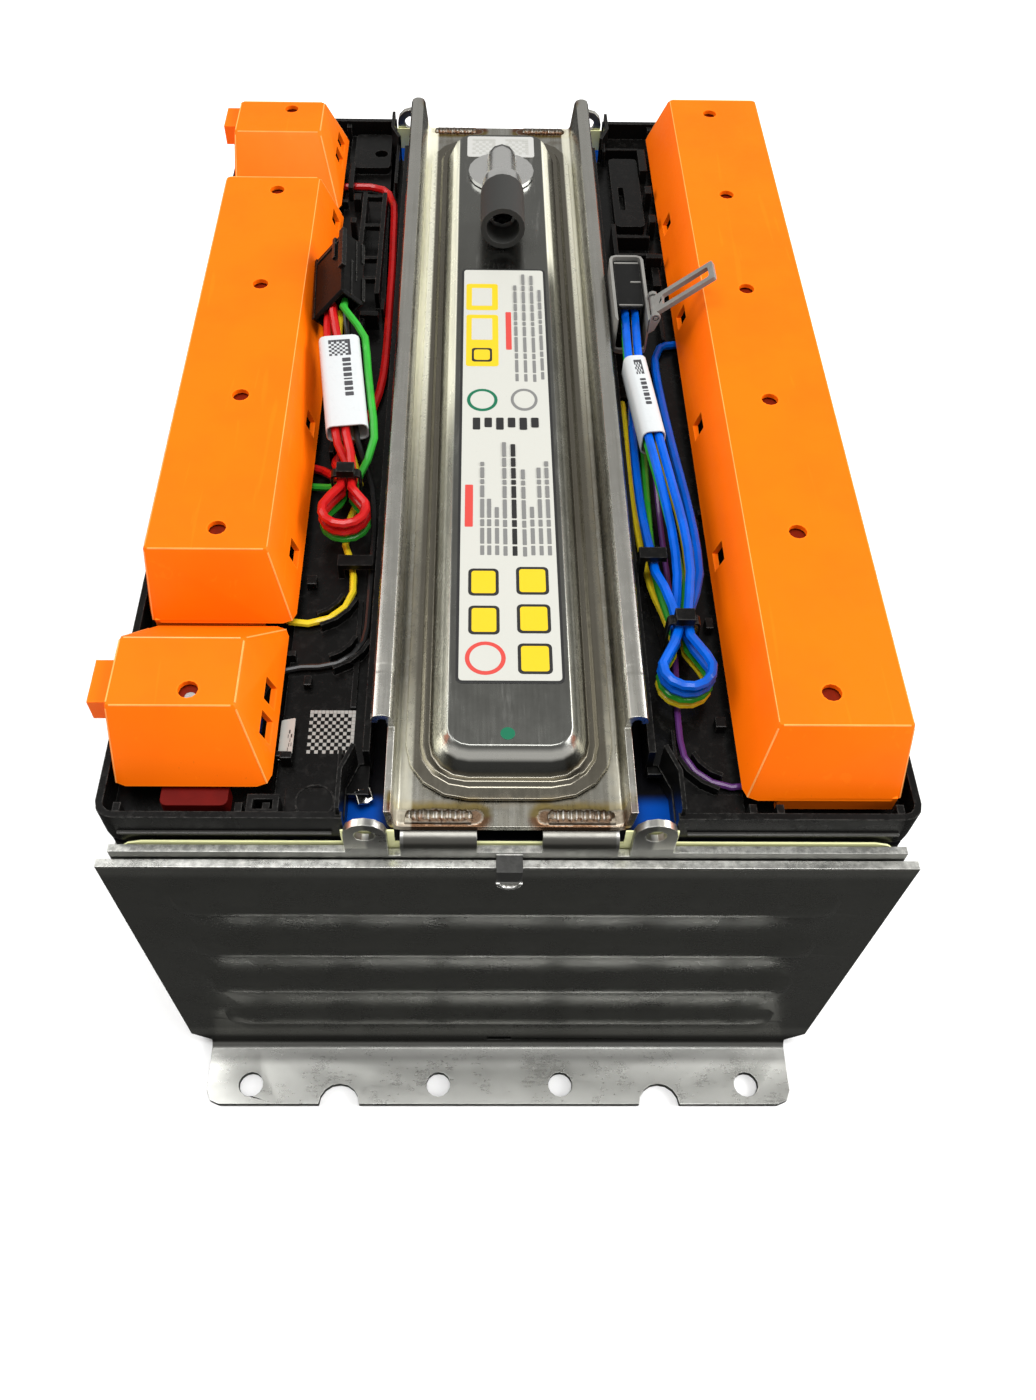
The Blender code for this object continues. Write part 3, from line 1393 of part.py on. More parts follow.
def build_right_connector():
    frame = prism([frame_outline(0), frame_outline(FRAME_WALL)], 0, FRAME_HEIGHT)
    frame = add("right_connector_frame", frame, "grey_plastic", location=frame_place)
    x = FRAME_WIDTH / 2 + HINGE_REACH
    y = HINGE_SETBACK - FRAME_LENGTH / 2
    z = FRAME_HEIGHT + HINGE_RISE
    root = FRAME_WIDTH / 2 - FRAME_WALL / 2
    ear_gap = LATCH_WIDTH / 2 + CLEARANCE
    ears = []
    for start in (y - ear_gap - LATCH_EAR, y + ear_gap):
        head = arc((x, z), LATCH_EAR_RADIUS, -30, 180, 5)
        outline = [(root, z - LATCH_EAR_DROP), (x, z - LATCH_EAR_DROP + HINGE_REACH), *head]
        outline.append((root, FRAME_HEIGHT - FRAME_WALL))
        ears.append(prism([outline], start, start + LATCH_EAR, "Y"))
    boolean(frame, "UNION", ears)
    reach = ear_gap + LATCH_EAR + CUT_OVERRUN
    pin_hole = cylinder(LATCH_PIN_RADIUS + CLEARANCE, (x, y - reach, z), (x, y + reach, z), "Y", 10)
    inner = FRAME_WIDTH / 2 - FRAME_WALL
    low = (-inner, -FRAME_LENGTH / 2 - CUT_OVERRUN, FRAME_MOUTH_SILL)
    mouth = box(low, (inner, -FRAME_LENGTH / 2 + FRAME_CORNER, FRAME_HEIGHT + CUT_OVERRUN))
    boolean(frame, "DIFFERENCE", [pin_hole, mouth])
    half = FRAME_WIDTH / 2 - FRAME_WALL - BODY_GAP
    rear = FRAME_LENGTH / 2 - FRAME_WALL - BODY_GAP
    top = FRAME_HEIGHT - BODY_DROP
    outline = rounded((-half, rear - BODY_LENGTH), (half, rear), BODY_CORNER, 2)
    body = add("right_connector_body", prism([outline], 0, top), "black_plastic", location=frame_place)
    wall = BODY_POCKET_WALL
    low = (-half + wall, rear - BODY_LENGTH - CUT_OVERRUN, wall)
    high = (half - wall, rear - BODY_LENGTH + BODY_POCKET_DEPTH, top - wall)
    boolean(body, "DIFFERENCE", [box(low, high)])


def build_latch():
    """The hinged latch, modelled along +X from its axis and turned to where it stands open."""
    half = LATCH_WIDTH / 2
    arm = LATCH_ARM
    barrel = cylinder(LATCH_BARREL_RADIUS, (0, -half, 0), (0, half, 0), "Y", 12)
    place = (hinge_x, hinge_y, hinge_z)
    latch = add("latch", barrel, "grey_plastic", location=place, rotation=(0, -LATCH_OPEN, 0))
    reach = half + CLEARANCE + LATCH_EAR
    pin = cylinder(LATCH_PIN_RADIUS, (0, -reach, 0), (0, reach, 0), "Y", 8)
    edge = half - CLEARANCE / 2
    outer = rounded((0, -edge), (LATCH_LENGTH, edge), LATCH_CORNER, 2)
    inner = rounded((LATCH_SLOT_START, -edge + arm), (LATCH_LENGTH - arm, edge - arm), LATCH_CORNER, 2)
    boolean(latch, "UNION", [pin, prism([outer, inner], -LATCH_HALF_THICKNESS, LATCH_HALF_THICKNESS)])


# Harnesses


class Socket:
    """A turned place, whose own (x, y, z) points it gives in the module's frame."""

    def __init__(self, place, turn):
        self.place = Vector(place)
        self.turn = Euler(turn).to_matrix()

    def at(self, x, y, z):
        return tuple(self.place + self.turn @ Vector((x, y, z)))


def slack_loop(neck, reach, radius, z, side=1):
    """A flat teardrop: in through the tie on one side of the neck, round, and out on the other."""
    x, y = neck
    gap = NECK_HALF_GAP
    around = arc((x, y - reach), radius, 40, -220, 8)
    points = [(x + gap, y + TIE_LENGTH), (x + gap, y - TIE_LENGTH), *around]
    points += [(x - gap, y - TIE_LENGTH), (x - gap, y + TIE_LENGTH)]
    points = [(a, b, z) for a, b in points]
    return points if side > 0 else points[::-1]


def raised(points):
    """Route points whose heights are counted from the carriers' deck."""
    return [above_deck(point) for point in points]


def wire(name, look, radius, points):
    path = smooth_route(points, 2 * radius * WIRE_STEP_IN_DIAMETERS)
    smooth(add(name, tube(path, radius, 2), look), 80)


def through(connector, front, sleeve, half_length, slot, place):
    """From the back of a connector's pocket, out of its front and along the label sleeve."""
    back = front + LEFT_POCKET_DEPTH - WIRE_END_GAP
    points = [connector.at(slot[0], y, slot[1]) for y in (back, front, front - LEAD)]
    end = half_length + LEAD
    for y in (end, half_length / 2, 0, -half_length / 2, -end):
        points.append(sleeve.at(place[0], y, place[1]))
    return points


def build_left_wires():
    connector = Socket(left_connector_place, left_connector_turn)
    sleeve = Socket(left_sleeve_place, left_sleeve_turn)
    front = -LEFT_CONNECTOR_LENGTH / 2
    half = LEFT_SLEEVE_LENGTH / 2
    green_level, low_level, high_level = left_loop_levels
    loop = (LEFT_NECK, LEFT_LOOP_REACH, LEFT_LOOP_RADIUS)
    route = through(connector, front, sleeve, half, *LEFT_SLOTS["red_1"])
    route += raised([(-0.0394, -0.0358, 0.012)])
    route += slack_loop(*loop, high_level)
    route += raised([(-0.0432, -0.0366, 0.0089), (-0.0443, -0.0330, 0.0061), (-0.0443, -0.0285, 0.0032)])
    route += raised([(-0.0422, -0.0215, 0.0018), (-0.0385, -0.0130, 0.0015), (-0.0355, -0.0040, 0.0015)])
    route += raised([(-0.0340, 0.0080, 0.0015), (-0.0337, 0.0230, 0.0015), (-0.0337, 0.0410, 0.0015)])
    route += raised([(-0.0338, 0.0600, 0.0015), (-0.0342, 0.0780, 0.0015), (-0.0345, 0.0890, 0.0015)])
    route += raised([(-0.0354, 0.0955, 0.0015), (-0.0380, 0.1000, 0.0015), (-0.0425, 0.1019, 0.0015)])
    route += raised([(-0.0490, 0.1022, 0.0015), (-0.0550, 0.1022, 0.0008), (-0.0576, 0.1022, -0.0003)])
    wire("left_red_wire_1", "red_wire", RED_RADIUS, route)
    route = through(connector, front, sleeve, half, *LEFT_SLOTS["red_2"])
    route += raised([(-0.0419, -0.0338, 0.0102), (-0.0396, -0.0380, 0.0087)])
    route += slack_loop(*loop, low_level)
    route += raised([(-0.0438, -0.0374, 0.0060), (-0.0457, -0.0340, 0.0034), (-0.0478, -0.0310, 0.0019)])
    route += raised([(-0.0512, -0.0296, 0.0015), (-0.0550, -0.0291, 0.0008), (-0.0576, -0.0290, -0.0003)])
    wire("left_red_wire_2", "red_wire", RED_RADIUS, route)
    route = through(connector, front, sleeve, half, *LEFT_SLOTS["green"])
    route += raised([(-0.0347, -0.0325, 0.01), (-0.0374, -0.0372, 0.0067)])
    route += slack_loop(*loop, green_level)
    route += raised([(-0.0437, -0.0388, 0.0036), (-0.0464, -0.0372, 0.0019), (-0.0512, -0.0364, 0.0014)])
    route += raised([(-0.0550, -0.0361, 0.0008), (-0.0577, -0.0360, -0.0002)])
    wire("left_green_wire", "green_wire", GREEN_RADIUS, route)
    route = through(connector, front, sleeve, half, *LEFT_SLOTS["yellow"])
    route += raised([(-0.0391, -0.0328, 0.0062), (-0.0378, -0.0366, 0.0030), (-0.0382, -0.0412, 0.0014)])
    route += raised([(-0.0398, -0.0480, 0.0012), (-0.0406, -0.0540, 0.0012), (-0.0398, -0.0590, 0.0012)])
    route += raised([(-0.0383, -0.0628, 0.0012), (-0.0377, -0.0665, 0.0012)])
    route += raised([(x, y, 0.0012) for x, y in flip(guide_path(LEFT_YELLOW_GUIDE, GUIDE_RADIUS), -1)])
    route += raised([(-0.0520, -0.0814, 0.0012), (-0.0555, -0.0785, 0.0006), (-0.0577, -0.0745, -0.0003)])
    wire("left_yellow_wire", "yellow_wire", YELLOW_RADIUS, route)
    route = through(connector, front, sleeve, half, *LEFT_SLOTS["black"])
    route += raised([(-0.0365, -0.0326, 0.0062), (-0.0348, -0.0366, 0.0023), (-0.0342, -0.0410, 0.0010)])
    route += raised([(-0.0336, -0.0470, 0.0010), (-0.0334, -0.0560, 0.0010), (-0.0334, -0.0700, 0.0010)])
    route += raised([(x, y, 0.001) for x, y in flip(guide_path(LEFT_BLACK_GUIDE, GUIDE_RADIUS), -1)])
    route += raised([(-0.0510, -0.0953, 0.0010), (-0.0552, -0.0990, 0.0006), (-0.0578, -0.1060, -0.0003)])
    wire("left_black_wire", "black_wire", THIN_RADIUS, route)


def build_right_wires():
    connector = Socket(frame_place, (0, 0, 0))
    sleeve = Socket(right_sleeve_place, right_sleeve_turn)
    front = FRAME_LENGTH / 2 - FRAME_WALL - BODY_GAP - BODY_LENGTH
    half = RIGHT_SLEEVE_LENGTH / 2
    yellow_level, green_level, low_level, high_level = right_loop_levels
    loop = (RIGHT_NECK, RIGHT_LOOP_REACH, RIGHT_LOOP_RADIUS)
    route = through(connector, front, sleeve, half, *RIGHT_SLOTS["blue_1"])
    route += raised([(0.0413, -0.0450, 0.0129), (0.0430, -0.0600, 0.0123), (0.0433, -0.0740, 0.0118)])
    route += slack_loop(*loop, high_level)
    route += raised([(0.0372, -0.0785, 0.0105), (0.0359, -0.0730, 0.0087), (0.0357, -0.0674, 0.0073)])
    route += raised([(0.0350, -0.0580, 0.0061), (0.0344, -0.0470, 0.0054), (0.0343, -0.0320, 0.0048)])
    route += raised([(0.0347, -0.0170, 0.0039), (0.0355, -0.0070, 0.0026), (0.0360, -0.0020, 0.0006)])
    route += raised([(0.0361, -0.0002, -0.0005)])
    wire("right_blue_wire_1", "blue_wire", BLUE_RADIUS, route)
    route = through(connector, front, sleeve, half, *RIGHT_SLOTS["blue_2"])
    route += raised([(0.0388, -0.0450, 0.0121), (0.0404, -0.0600, 0.0106), (0.0406, -0.0740, 0.0093)])
    route += slack_loop(*loop, low_level, -1)
    route += raised([(0.0442, -0.0790, 0.0086), (0.0460, -0.0730, 0.0083), (0.0464, -0.0600, 0.0080)])
    route += raised([(0.0457, -0.0450, 0.0074), (0.0446, -0.0300, 0.0066), (0.0438, -0.0150, 0.0054)])
    route += raised([(0.0434, -0.0030, 0.0042), (0.0433, 0.0080, 0.0030), (0.0438, 0.0160, 0.0020)])
    route += raised([(0.0457, 0.0208, 0.0016), (0.0490, 0.0226, 0.0015), (0.0552, 0.0230, 0.0008)])
    route += raised([(0.0576, 0.0230, -0.0003)])
    wire("right_blue_wire_2", "blue_wire", BLUE_RADIUS, route)
    route = through(connector, front, sleeve, half, *RIGHT_SLOTS["green"])
    route += raised([(0.0392, -0.0450, 0.0092), (0.0411, -0.0600, 0.0079), (0.0420, -0.0740, 0.0067)])
    route += slack_loop(*loop, green_level)
    route += raised([(0.0374, -0.0790, 0.0055), (0.0366, -0.0730, 0.0050), (0.0362, -0.0674, 0.0045)])
    route += raised([(0.0362, -0.0580, 0.0034), (0.0366, -0.0470, 0.0024), (0.0371, -0.0320, 0.0020)])
    route += raised([(0.0377, -0.0170, 0.0017), (0.0385, -0.0070, 0.0014), (0.0387, -0.0022, 0)])
    route += raised([(0.0388, -0.0004, -0.0007)])
    wire("right_green_wire", "green_wire", GREEN_RADIUS, route)
    route = through(connector, front, sleeve, half, *RIGHT_SLOTS["yellow"])
    route += raised([(0.0417, -0.0450, 0.0098), (0.0437, -0.0600, 0.0077), (0.0439, -0.0740, 0.0049)])
    route += slack_loop(*loop, yellow_level)
    route += raised([(0.0371, -0.0790, 0.0031), (0.0357, -0.0730, 0.0024), (0.0350, -0.0674, 0.0019)])
    route += raised([(0.0341, -0.0580, 0.0015), (0.0335, -0.0470, 0.0014), (0.0333, -0.0320, 0.0013)])
    route += raised([(0.0332, -0.0170, 0.0012), (0.0333, -0.0074, 0.00125), (0.0335, -0.0024, -0.0001)])
    route += raised([(0.0335, -0.0006, -0.0008)])
    wire("right_yellow_wire", "yellow_wire", YELLOW_RADIUS, route)
    route = through(connector, front, sleeve, half, *RIGHT_SLOTS["purple"])
    route += raised([(0.0388, -0.0370, 0.0068), (0.0393, -0.0440, 0.0037), (0.0397, -0.0540, 0.0016)])
    route += raised([(0.0400, -0.0660, 0.0010), (0.0401, -0.0800, 0.0010), (0.0395, -0.0930, 0.0010)])
    route += raised([(0.0387, -0.1040, 0.0010)])
    route += raised([(x, y, 0.001) for x, y in guide_path(RIGHT_GUIDE, GUIDE_RADIUS)])
    route += raised([(0.0530, -0.1262, 0.0010), (0.0558, -0.1240, 0.0005), (0.0576, -0.1200, -0.0004)])
    wire("right_purple_wire", "purple_wire", THIN_RADIUS, route)


def oval(half_width, half_height, inset=0):
    """A flat tube's section: a rectangle with well rounded corners."""
    w = half_width - inset
    h = half_height - inset
    return rounded((-w, -h), (w, h), min(w, h) * SLEEVE_CORNER_SHARE, 3)


def label_sleeve(name, place, turn, length, half_width, half_height):
    outlines = [oval(half_width, half_height), oval(half_width, half_height, LABEL_SLEEVE_WALL)]
    mesh = prism(outlines, -length / 2, length / 2, "Y")
    smooth(add(name, mesh, "white_sleeve", location=place, rotation=turn))


def build_label_sleeves():
    label_sleeve(
        "left_label_sleeve",
        left_sleeve_place,
        left_sleeve_turn,
        LEFT_SLEEVE_LENGTH,
        LEFT_SLEEVE_HALF_WIDTH,
        LEFT_SLEEVE_HALF_HEIGHT,
    )
    label_sleeve(
        "right_label_sleeve",
        right_sleeve_place,
        right_sleeve_turn,
        RIGHT_SLEEVE_LENGTH,
        RIGHT_SLEEVE_HALF_WIDTH,
        RIGHT_SLEEVE_HALF_HEIGHT,
    )


def cable_tie(name, neck, low, high):
    """A strap round a loop's neck, between two heights, with its head on top."""
    half_width = NECK_HALF_GAP + RED_RADIUS + TIE_GAP + TIE_WALL
    half_height = (high - low) / 2 + TIE_WALL
    outlines = [
        rounded((-half_width, -half_height), (half_width, half_height), TIE_CORNER + TIE_WALL, 3),
        rounded(
            (-half_width + TIE_WALL, -half_height + TIE_WALL),
            (half_width - TIE_WALL, half_height - TIE_WALL),
            TIE_CORNER,
            3,
        ),
    ]
    mesh = prism(outlines, -TIE_LENGTH / 2, TIE_LENGTH / 2, "Y")
    tie = add(name, mesh, "black_plastic", location=(*neck, (high + low) / 2))
    foot = half_height - TIE_WALL / 2
    head = box((-TIE_HEAD, -TIE_HEAD_LENGTH / 2, foot), (TIE_HEAD, TIE_HEAD_LENGTH / 2, foot + TIE_HEAD))
    boolean(tie, "UNION", [head])
    smooth(tie)


def build_ties():
    gap = TIE_GAP
    low = left_loop_levels[0] - GREEN_RADIUS - gap
    cable_tie("left_cable_tie", LEFT_NECK, low, left_loop_levels[-1] + RED_RADIUS + gap)
    low = right_loop_levels[0] - YELLOW_RADIUS - CLEARANCE
    cable_tie("right_cable_tie", RIGHT_NECK, low, right_loop_levels[-1] + BLUE_RADIUS + gap)


def main():
    define_materials()
    build_cells()
    build_spacers()
    build_side_plates()
    build_end("front", 0)
    build_end("rear", math.pi)
    build_channel()
    build_pan()
    build_vent()
    build_carriers()
    build_covers()
    build_busbars()
    build_terminals()
    build_left_connector()
    build_right_connector()
    build_latch()
    build_left_wires()
    build_right_wires()
    build_label_sleeves()
    build_ties()


main()
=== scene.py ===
import math

import bmesh
import bpy
from mathutils import Matrix, Vector


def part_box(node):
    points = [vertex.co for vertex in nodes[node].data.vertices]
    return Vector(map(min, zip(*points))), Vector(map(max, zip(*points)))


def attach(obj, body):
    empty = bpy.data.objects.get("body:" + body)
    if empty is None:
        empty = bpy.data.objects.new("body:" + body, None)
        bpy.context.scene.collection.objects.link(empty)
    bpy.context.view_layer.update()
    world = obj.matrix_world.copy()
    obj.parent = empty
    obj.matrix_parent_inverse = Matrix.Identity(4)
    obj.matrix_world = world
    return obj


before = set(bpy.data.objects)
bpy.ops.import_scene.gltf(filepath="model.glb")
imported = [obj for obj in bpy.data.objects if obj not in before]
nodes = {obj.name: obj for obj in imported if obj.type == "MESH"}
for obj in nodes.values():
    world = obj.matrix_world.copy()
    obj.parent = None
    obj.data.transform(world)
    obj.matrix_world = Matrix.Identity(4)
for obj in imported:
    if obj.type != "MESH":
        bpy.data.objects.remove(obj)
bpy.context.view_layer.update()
millimetre = 0.001


def addObject(name, data):
    obj = bpy.data.objects.new(name, data)
    bpy.context.scene.collection.objects.link(obj)
    return obj


# Camera, at the photograph's viewing angle

cameraSettings = {
    "place": (-0.00767, -0.25564, 0.34014),
    "pitch": 54.97,
    "yaw": 1.36,
    "roll": 1.40,
    "lens": 29.80,
    "sensor": 36,
    "shift": (0.01976, -0.0016),
    "near": 0.01,
    "far": 50,
}


def makeCamera(settings):
    pitch, yaw, roll = (math.radians(settings[key]) for key in ("pitch", "yaw", "roll"))
    ahead = Vector((math.sin(yaw) * math.cos(pitch), math.cos(yaw) * math.cos(pitch), -math.sin(pitch)))
    level = Vector((math.cos(yaw), -math.sin(yaw), 0))
    upright = level.cross(ahead)
    across = math.cos(roll) * level + math.sin(roll) * upright
    upwards = math.cos(roll) * upright - math.sin(roll) * level
    data = bpy.data.cameras.new("camera")
    data.lens = settings["lens"]
    data.sensor_width = settings["sensor"]
    data.shift_x, data.shift_y = settings["shift"]
    data.clip_start, data.clip_end = settings["near"], settings["far"]
    camera = addObject("camera", data)
    turn = Matrix((across, upwards, -ahead)).transposed().to_4x4()
    camera.matrix_world = Matrix.Translation(settings["place"]) @ turn
    bpy.context.scene.camera = camera


makeCamera(cameraSettings)
bpy.context.scene.view_settings.view_transform = "Standard"
print("camera made")

# Materials: a socket that takes part in sums, and a look that builds one shader from such sockets


class Value:
    def __init__(self, look, socket):
        self.look = look
        self.socket = socket

    def combine(self, operation, other, reflected=False):
        first, second = (other, self) if reflected else (self, other)
        vector = any(isinstance(item, Value) and item.socket.type == "VECTOR" for item in (first, second))
        kind = "ShaderNodeVectorMath" if vector else "ShaderNodeMath"
        made = self.look.node(kind, {"operation": operation}, {0: first, 1: second})
        return Value(self.look, made.outputs[0])

    def __add__(self, other):
        return self.combine("ADD", other)

    def __radd__(self, other):
        return self.combine("ADD", other, True)

    def __sub__(self, other):
        return self.combine("SUBTRACT", other)

    def __rsub__(self, other):
        return self.combine("SUBTRACT", other, True)

    def __mul__(self, other):
        return self.combine("MULTIPLY", other)

    def __rmul__(self, other):
        return self.combine("MULTIPLY", other, True)

    def __pow__(self, other):
        return self.combine("POWER", other)

    def __rpow__(self, other):
        return self.combine("POWER", other, True)

    def __abs__(self):
        return self.combine("ABSOLUTE", 0)

    def least(self, other):
        return self.combine("MINIMUM", other)

    def most(self, other):
        return self.combine("MAXIMUM", other)

    def ramp(self, low, high):
        # 0 below low, 1 above high, smooth between
        limits = {"Value": self, "From Min": low, "From Max": high}
        made = self.look.node("ShaderNodeMapRange", {"interpolation_type": "SMOOTHSTEP"}, limits)
        return Value(self.look, made.outputs["Result"])


class Look:
    def __init__(self, name, fixed):
        # fixed holds what is the same all over the surface
        self.material = bpy.data.materials.new(name)
        self.material.use_nodes = True
        self.tree = self.material.node_tree
        self.shader = self.tree.nodes["Principled BSDF"]
        self.fix(fixed)

    def node(self, kind, settings=None, sockets=None):
        made = self.tree.nodes.new(kind)
        for key, value in (settings or {}).items():
            setattr(made, key, value)
        for key, value in (sockets or {}).items():
            self.join(value, made.inputs[key])
        return made

    def join(self, value, socket):
        if isinstance(value, Value):
            self.tree.links.new(value.socket, socket)
        elif socket.type == "RGBA" and len(value) == 3:
            socket.default_value = (*value, 1)
        else:
            socket.default_value = value

    def fix(self, settings):
        for key, value in settings.items():
            self.join(value, self.shader.inputs[key])

    @property
    def place(self):
        return Value(self, self.node("ShaderNodeTexCoord").outputs["Object"])

    @property
    def normal(self):
        return Value(self, self.node("ShaderNodeNewGeometry").outputs["True Normal"])

    def parts(self, vector):
        made = self.node("ShaderNodeSeparateXYZ", None, {0: vector})
        return [Value(self, socket) for socket in made.outputs]

    def noise(self, scale, detail=3, rough=0.5, stretch=(1, 1, 1), distort=0):
        sockets = {"Scale": scale, "Detail": detail, "Roughness": rough, "Distortion": distort}
        sockets["Vector"] = self.place * stretch
        return Value(self, self.node("ShaderNodeTexNoise", None, sockets).outputs["Fac"])

    def cells(self, scale, stretch):
        sockets = {"Vector": self.place * stretch, "Scale": scale}
        return Value(self, self.node("ShaderNodeTexVoronoi", None, sockets).outputs["Distance"])

    def edge(self, radius, low=0.02, high=0.2):
        # 1 along edges, 0 on flat faces
        bent = Value(self, self.node("ShaderNodeBevel", {"samples": 6}, {"Radius": radius}).outputs[0])
        turned = self.node("ShaderNodeVectorMath", {"operation": "DOT_PRODUCT"}, {0: bent, 1: self.normal})
        return (1 - Value(self, turned.outputs["Value"])).ramp(low, high)

    def mix(self, share, first, second):
        made = self.node("ShaderNodeMix", {"data_type": "RGBA"}, {0: share, 6: first, 7: second})
        return Value(self, made.outputs[2])

    def bump(self, height, strength, distance, under=None):
        sockets = {"Height": height, "Strength": strength, "Distance": distance}
        if under:
            sockets["Normal"] = under
        return Value(self, self.node("ShaderNodeBump", None, sockets).outputs[0])


def box(node):
    low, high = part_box(node)
    return Vector(low), Vector(high)


# Soft edges: widths go by a word in the node's name, and the last word that fits counts

softSettings = {
    "weld": 0.000002,
    "angle": 32,
    "segments": 2,
    "other": 0.00015,
    "widths": {
        "cover": 0.0007,
        "end_plate": 0.00018,
        "carrier": 0.00022,
        "connector": 0.0002,
        "channel": 0.00022,
        "pan": 0.0004,
        "elbow": 0,
        "wire": 0,
        "foil": 0,
        "cell": 0.0012,
        "spacer": 0,
        "block": 0.0003,
    },
}


def makeSmoother(settings):
    # joins the split faces and shades them smooth up to an edge angle
    tree = bpy.data.node_groups.new("smoother", "GeometryNodeTree")
    for way in ("INPUT", "OUTPUT"):
        tree.interface.new_socket("Geometry", in_out=way, socket_type="NodeSocketGeometry")
    steps = [
        ("NodeGroupInput", {}, {}),
        ("GeometryNodeMergeByDistance", {}, {"Distance": settings["weld"]}),
        ("GeometryNodeRemoveAttribute", {}, {"Name": "custom_normal"}),
        ("GeometryNodeSetShadeSmooth", {"domain": "FACE"}, {"Shade Smooth": True}),
        ("GeometryNodeSetShadeSmooth", {"domain": "EDGE"}, {"Shade Smooth": False}),
        ("NodeGroupOutput", {}, {}),
    ]
    made = []
    for kind, options, sockets in steps:
        step = tree.nodes.new(kind)
        for key, value in options.items():
            setattr(step, key, value)
        for key, value in sockets.items():
            step.inputs[key].default_value = value
        if made:
            tree.links.new(made[-1].outputs[0], step.inputs[0])
        made.append(step)
    bend = tree.nodes.new("GeometryNodeInputMeshEdgeAngle")
    sharp = tree.nodes.new("FunctionNodeCompare")
    sharp.operation = "GREATER_THAN"
    sharp.inputs[1].default_value = math.radians(settings["angle"])
    tree.links.new(bend.outputs["Unsigned Angle"], sharp.inputs[0])
    tree.links.new(sharp.outputs[0], made[-2].inputs["Selection"])
    return tree


def softenEdges(settings):
    smoother = makeSmoother(settings)
    for name, obj in nodes.items():
        obj.modifiers.new("smoother", "NODES").node_group = smoother
        widths = [width for word, width in settings["widths"].items() if word in name]
        width = widths[-1] if widths else settings["other"]
        if not width:
            continue
        bevel = obj.modifiers.new("bevel", "BEVEL")
        bevel.width = width
        bevel.segments = settings["segments"]
        bevel.limit_method = "ANGLE"
        bevel.angle_limit = math.radians(settings["angle"])
        bevel.harden_normals = True
        bevel.use_clamp_overlap = True
        bevel.miter_outer = "MITER_ARC"


softenEdges(softSettings)
print("edges softened")


def paint(look, *words):
    # every node whose name holds one of the words
    for name, obj in nodes.items():
        if any(word in name for word in words):
            obj.data.materials.clear()
            obj.data.materials.append(look.material)


# Plastics

covers = ("right_cover", "left_cover", "front_left_cover", "rear_left_cover")
orangeSettings = {
    "colour": (0.90, 0.146, 0.0002),
    "deep": (0.84, 0.116, 0.0001),
    "light": (1.0, 0.24, 0.008),
    "fleck": (0.45, 0.09, 0.01),
    "roughness": 0.46,
    "shine": 0.12,
    "grain": 2600,
    "edge": 0.0009,
}


def orangeLook(settings):
    look = Look("orange_plastic", {"Specular IOR Level": settings["shine"]})
    cloud = look.noise(38, 3, 0.6)
    fine = look.noise(700, 4, 0.65)
    colour = look.mix(cloud.ramp(0.35, 0.7) * 0.5, settings["colour"], settings["deep"])
    # painted highlight: lighter orange along the edges and ridges
    colour = look.mix(look.edge(settings["edge"]) * 0.45, colour, settings["light"])
    flecks = look.noise(1500, 1, 0.5).ramp(0.74, 0.78)
    colour = look.mix(flecks * 0.25, colour, settings["fleck"])
    scratches = look.noise(260, 2, 0.5, (1, 0.06, 1), 1.2).ramp(0.66, 0.70)
    colour = look.mix(scratches * 0.12, colour, settings["light"])
    rough = settings["roughness"] + (fine - 0.5) * 0.22 + (cloud - 0.5) * 0.1
    normal = look.bump(look.noise(settings["grain"], 2, 0.6), 0.12, 0.0001)
    normal = look.bump(fine, 0.06, 0.0002, normal)
    look.fix({"Base Color": colour, "Roughness": rough, "Normal": normal})
    return look


paint(orangeLook(orangeSettings), *covers)

blackSettings = {
    "colour": (0.0034, 0.0033, 0.0031),
    "dust": (0.028, 0.027, 0.025),
    "rim": (0.12, 0.118, 0.11),
    "roughness": 0.27,
    "grain": 3200,
    "dusty": 0.35,
    "shine": 0.15,
}
shellSettings = {**blackSettings, "dusty": 0.2, "shine": 0.05}
bodySettings = {**shellSettings, "colour": (0.010, 0.010, 0.0098), "roughness": 0.40, "shine": 0.06}
rubberSettings = {**blackSettings, "colour": (0.034, 0.034, 0.032), "roughness": 0.55}
rubberSettings.update({"grain": 1500, "dusty": 0.15})


def blackLook(name, settings):
    look = Look(name, {"Specular IOR Level": settings["shine"]})
    cloud = look.noise(60, 4, 0.6)
    facing = look.parts(look.normal)[2].ramp(0.4, 0.95)
    dust = look.noise(420, 5, 0.7).ramp(0.48, 0.78) * facing * settings["dusty"]
    # painted glints: a lighter grey along the edges, broken up by noise
    rim = look.edge(0.0005) * look.noise(900, 3, 0.6).ramp(0.35, 0.6)
    colour = look.mix(dust, settings["colour"], settings["dust"])
    colour = look.mix(rim * 0.5, colour, settings["rim"])
    rough = settings["roughness"] + (cloud - 0.5) * 0.3 + dust * 0.3
    normal = look.bump(look.noise(settings["grain"], 2, 0.6), 0.15, 0.0001)
    look.fix({"Base Color": colour, "Roughness": rough, "Normal": normal})
    return look


blackPlastic = blackLook("black_plastic", blackSettings)
paint(blackPlastic, "carrier", "cable_tie")
paint(blackLook("connector_black", shellSettings), "left_connector")
paint(blackLook("dark_body", bodySettings), "right_connector_body")
paint(blackLook("black_rubber", rubberSettings), "vent_sleeve")


def plainLook(name, colour, roughness, grain=2400, coat=0, edges=0.2, bumps=0.1, shine=0.4):
    look = Look(name, {"Coat Weight": coat, "Coat Roughness": 0.08, "Specular IOR Level": shine})
    cloud = look.noise(150, 4, 0.6)
    pale = tuple(min(1, 1.25 * part + 0.03) for part in colour)
    dark = tuple(0.62 * part for part in colour)
    shade = look.mix(cloud.ramp(0.3, 0.72) * 0.6, colour, dark)
    # painted highlight: paler along the edges, by as much as edges asks
    shade = look.mix(look.edge(0.0004) * edges, shade, pale)
    rough = roughness + (cloud - 0.5) * 0.24
    normal = look.bump(look.noise(grain, 2, 0.6), bumps, 0.0001)
    look.fix({"Base Color": shade, "Roughness": rough, "Normal": normal})
    return look


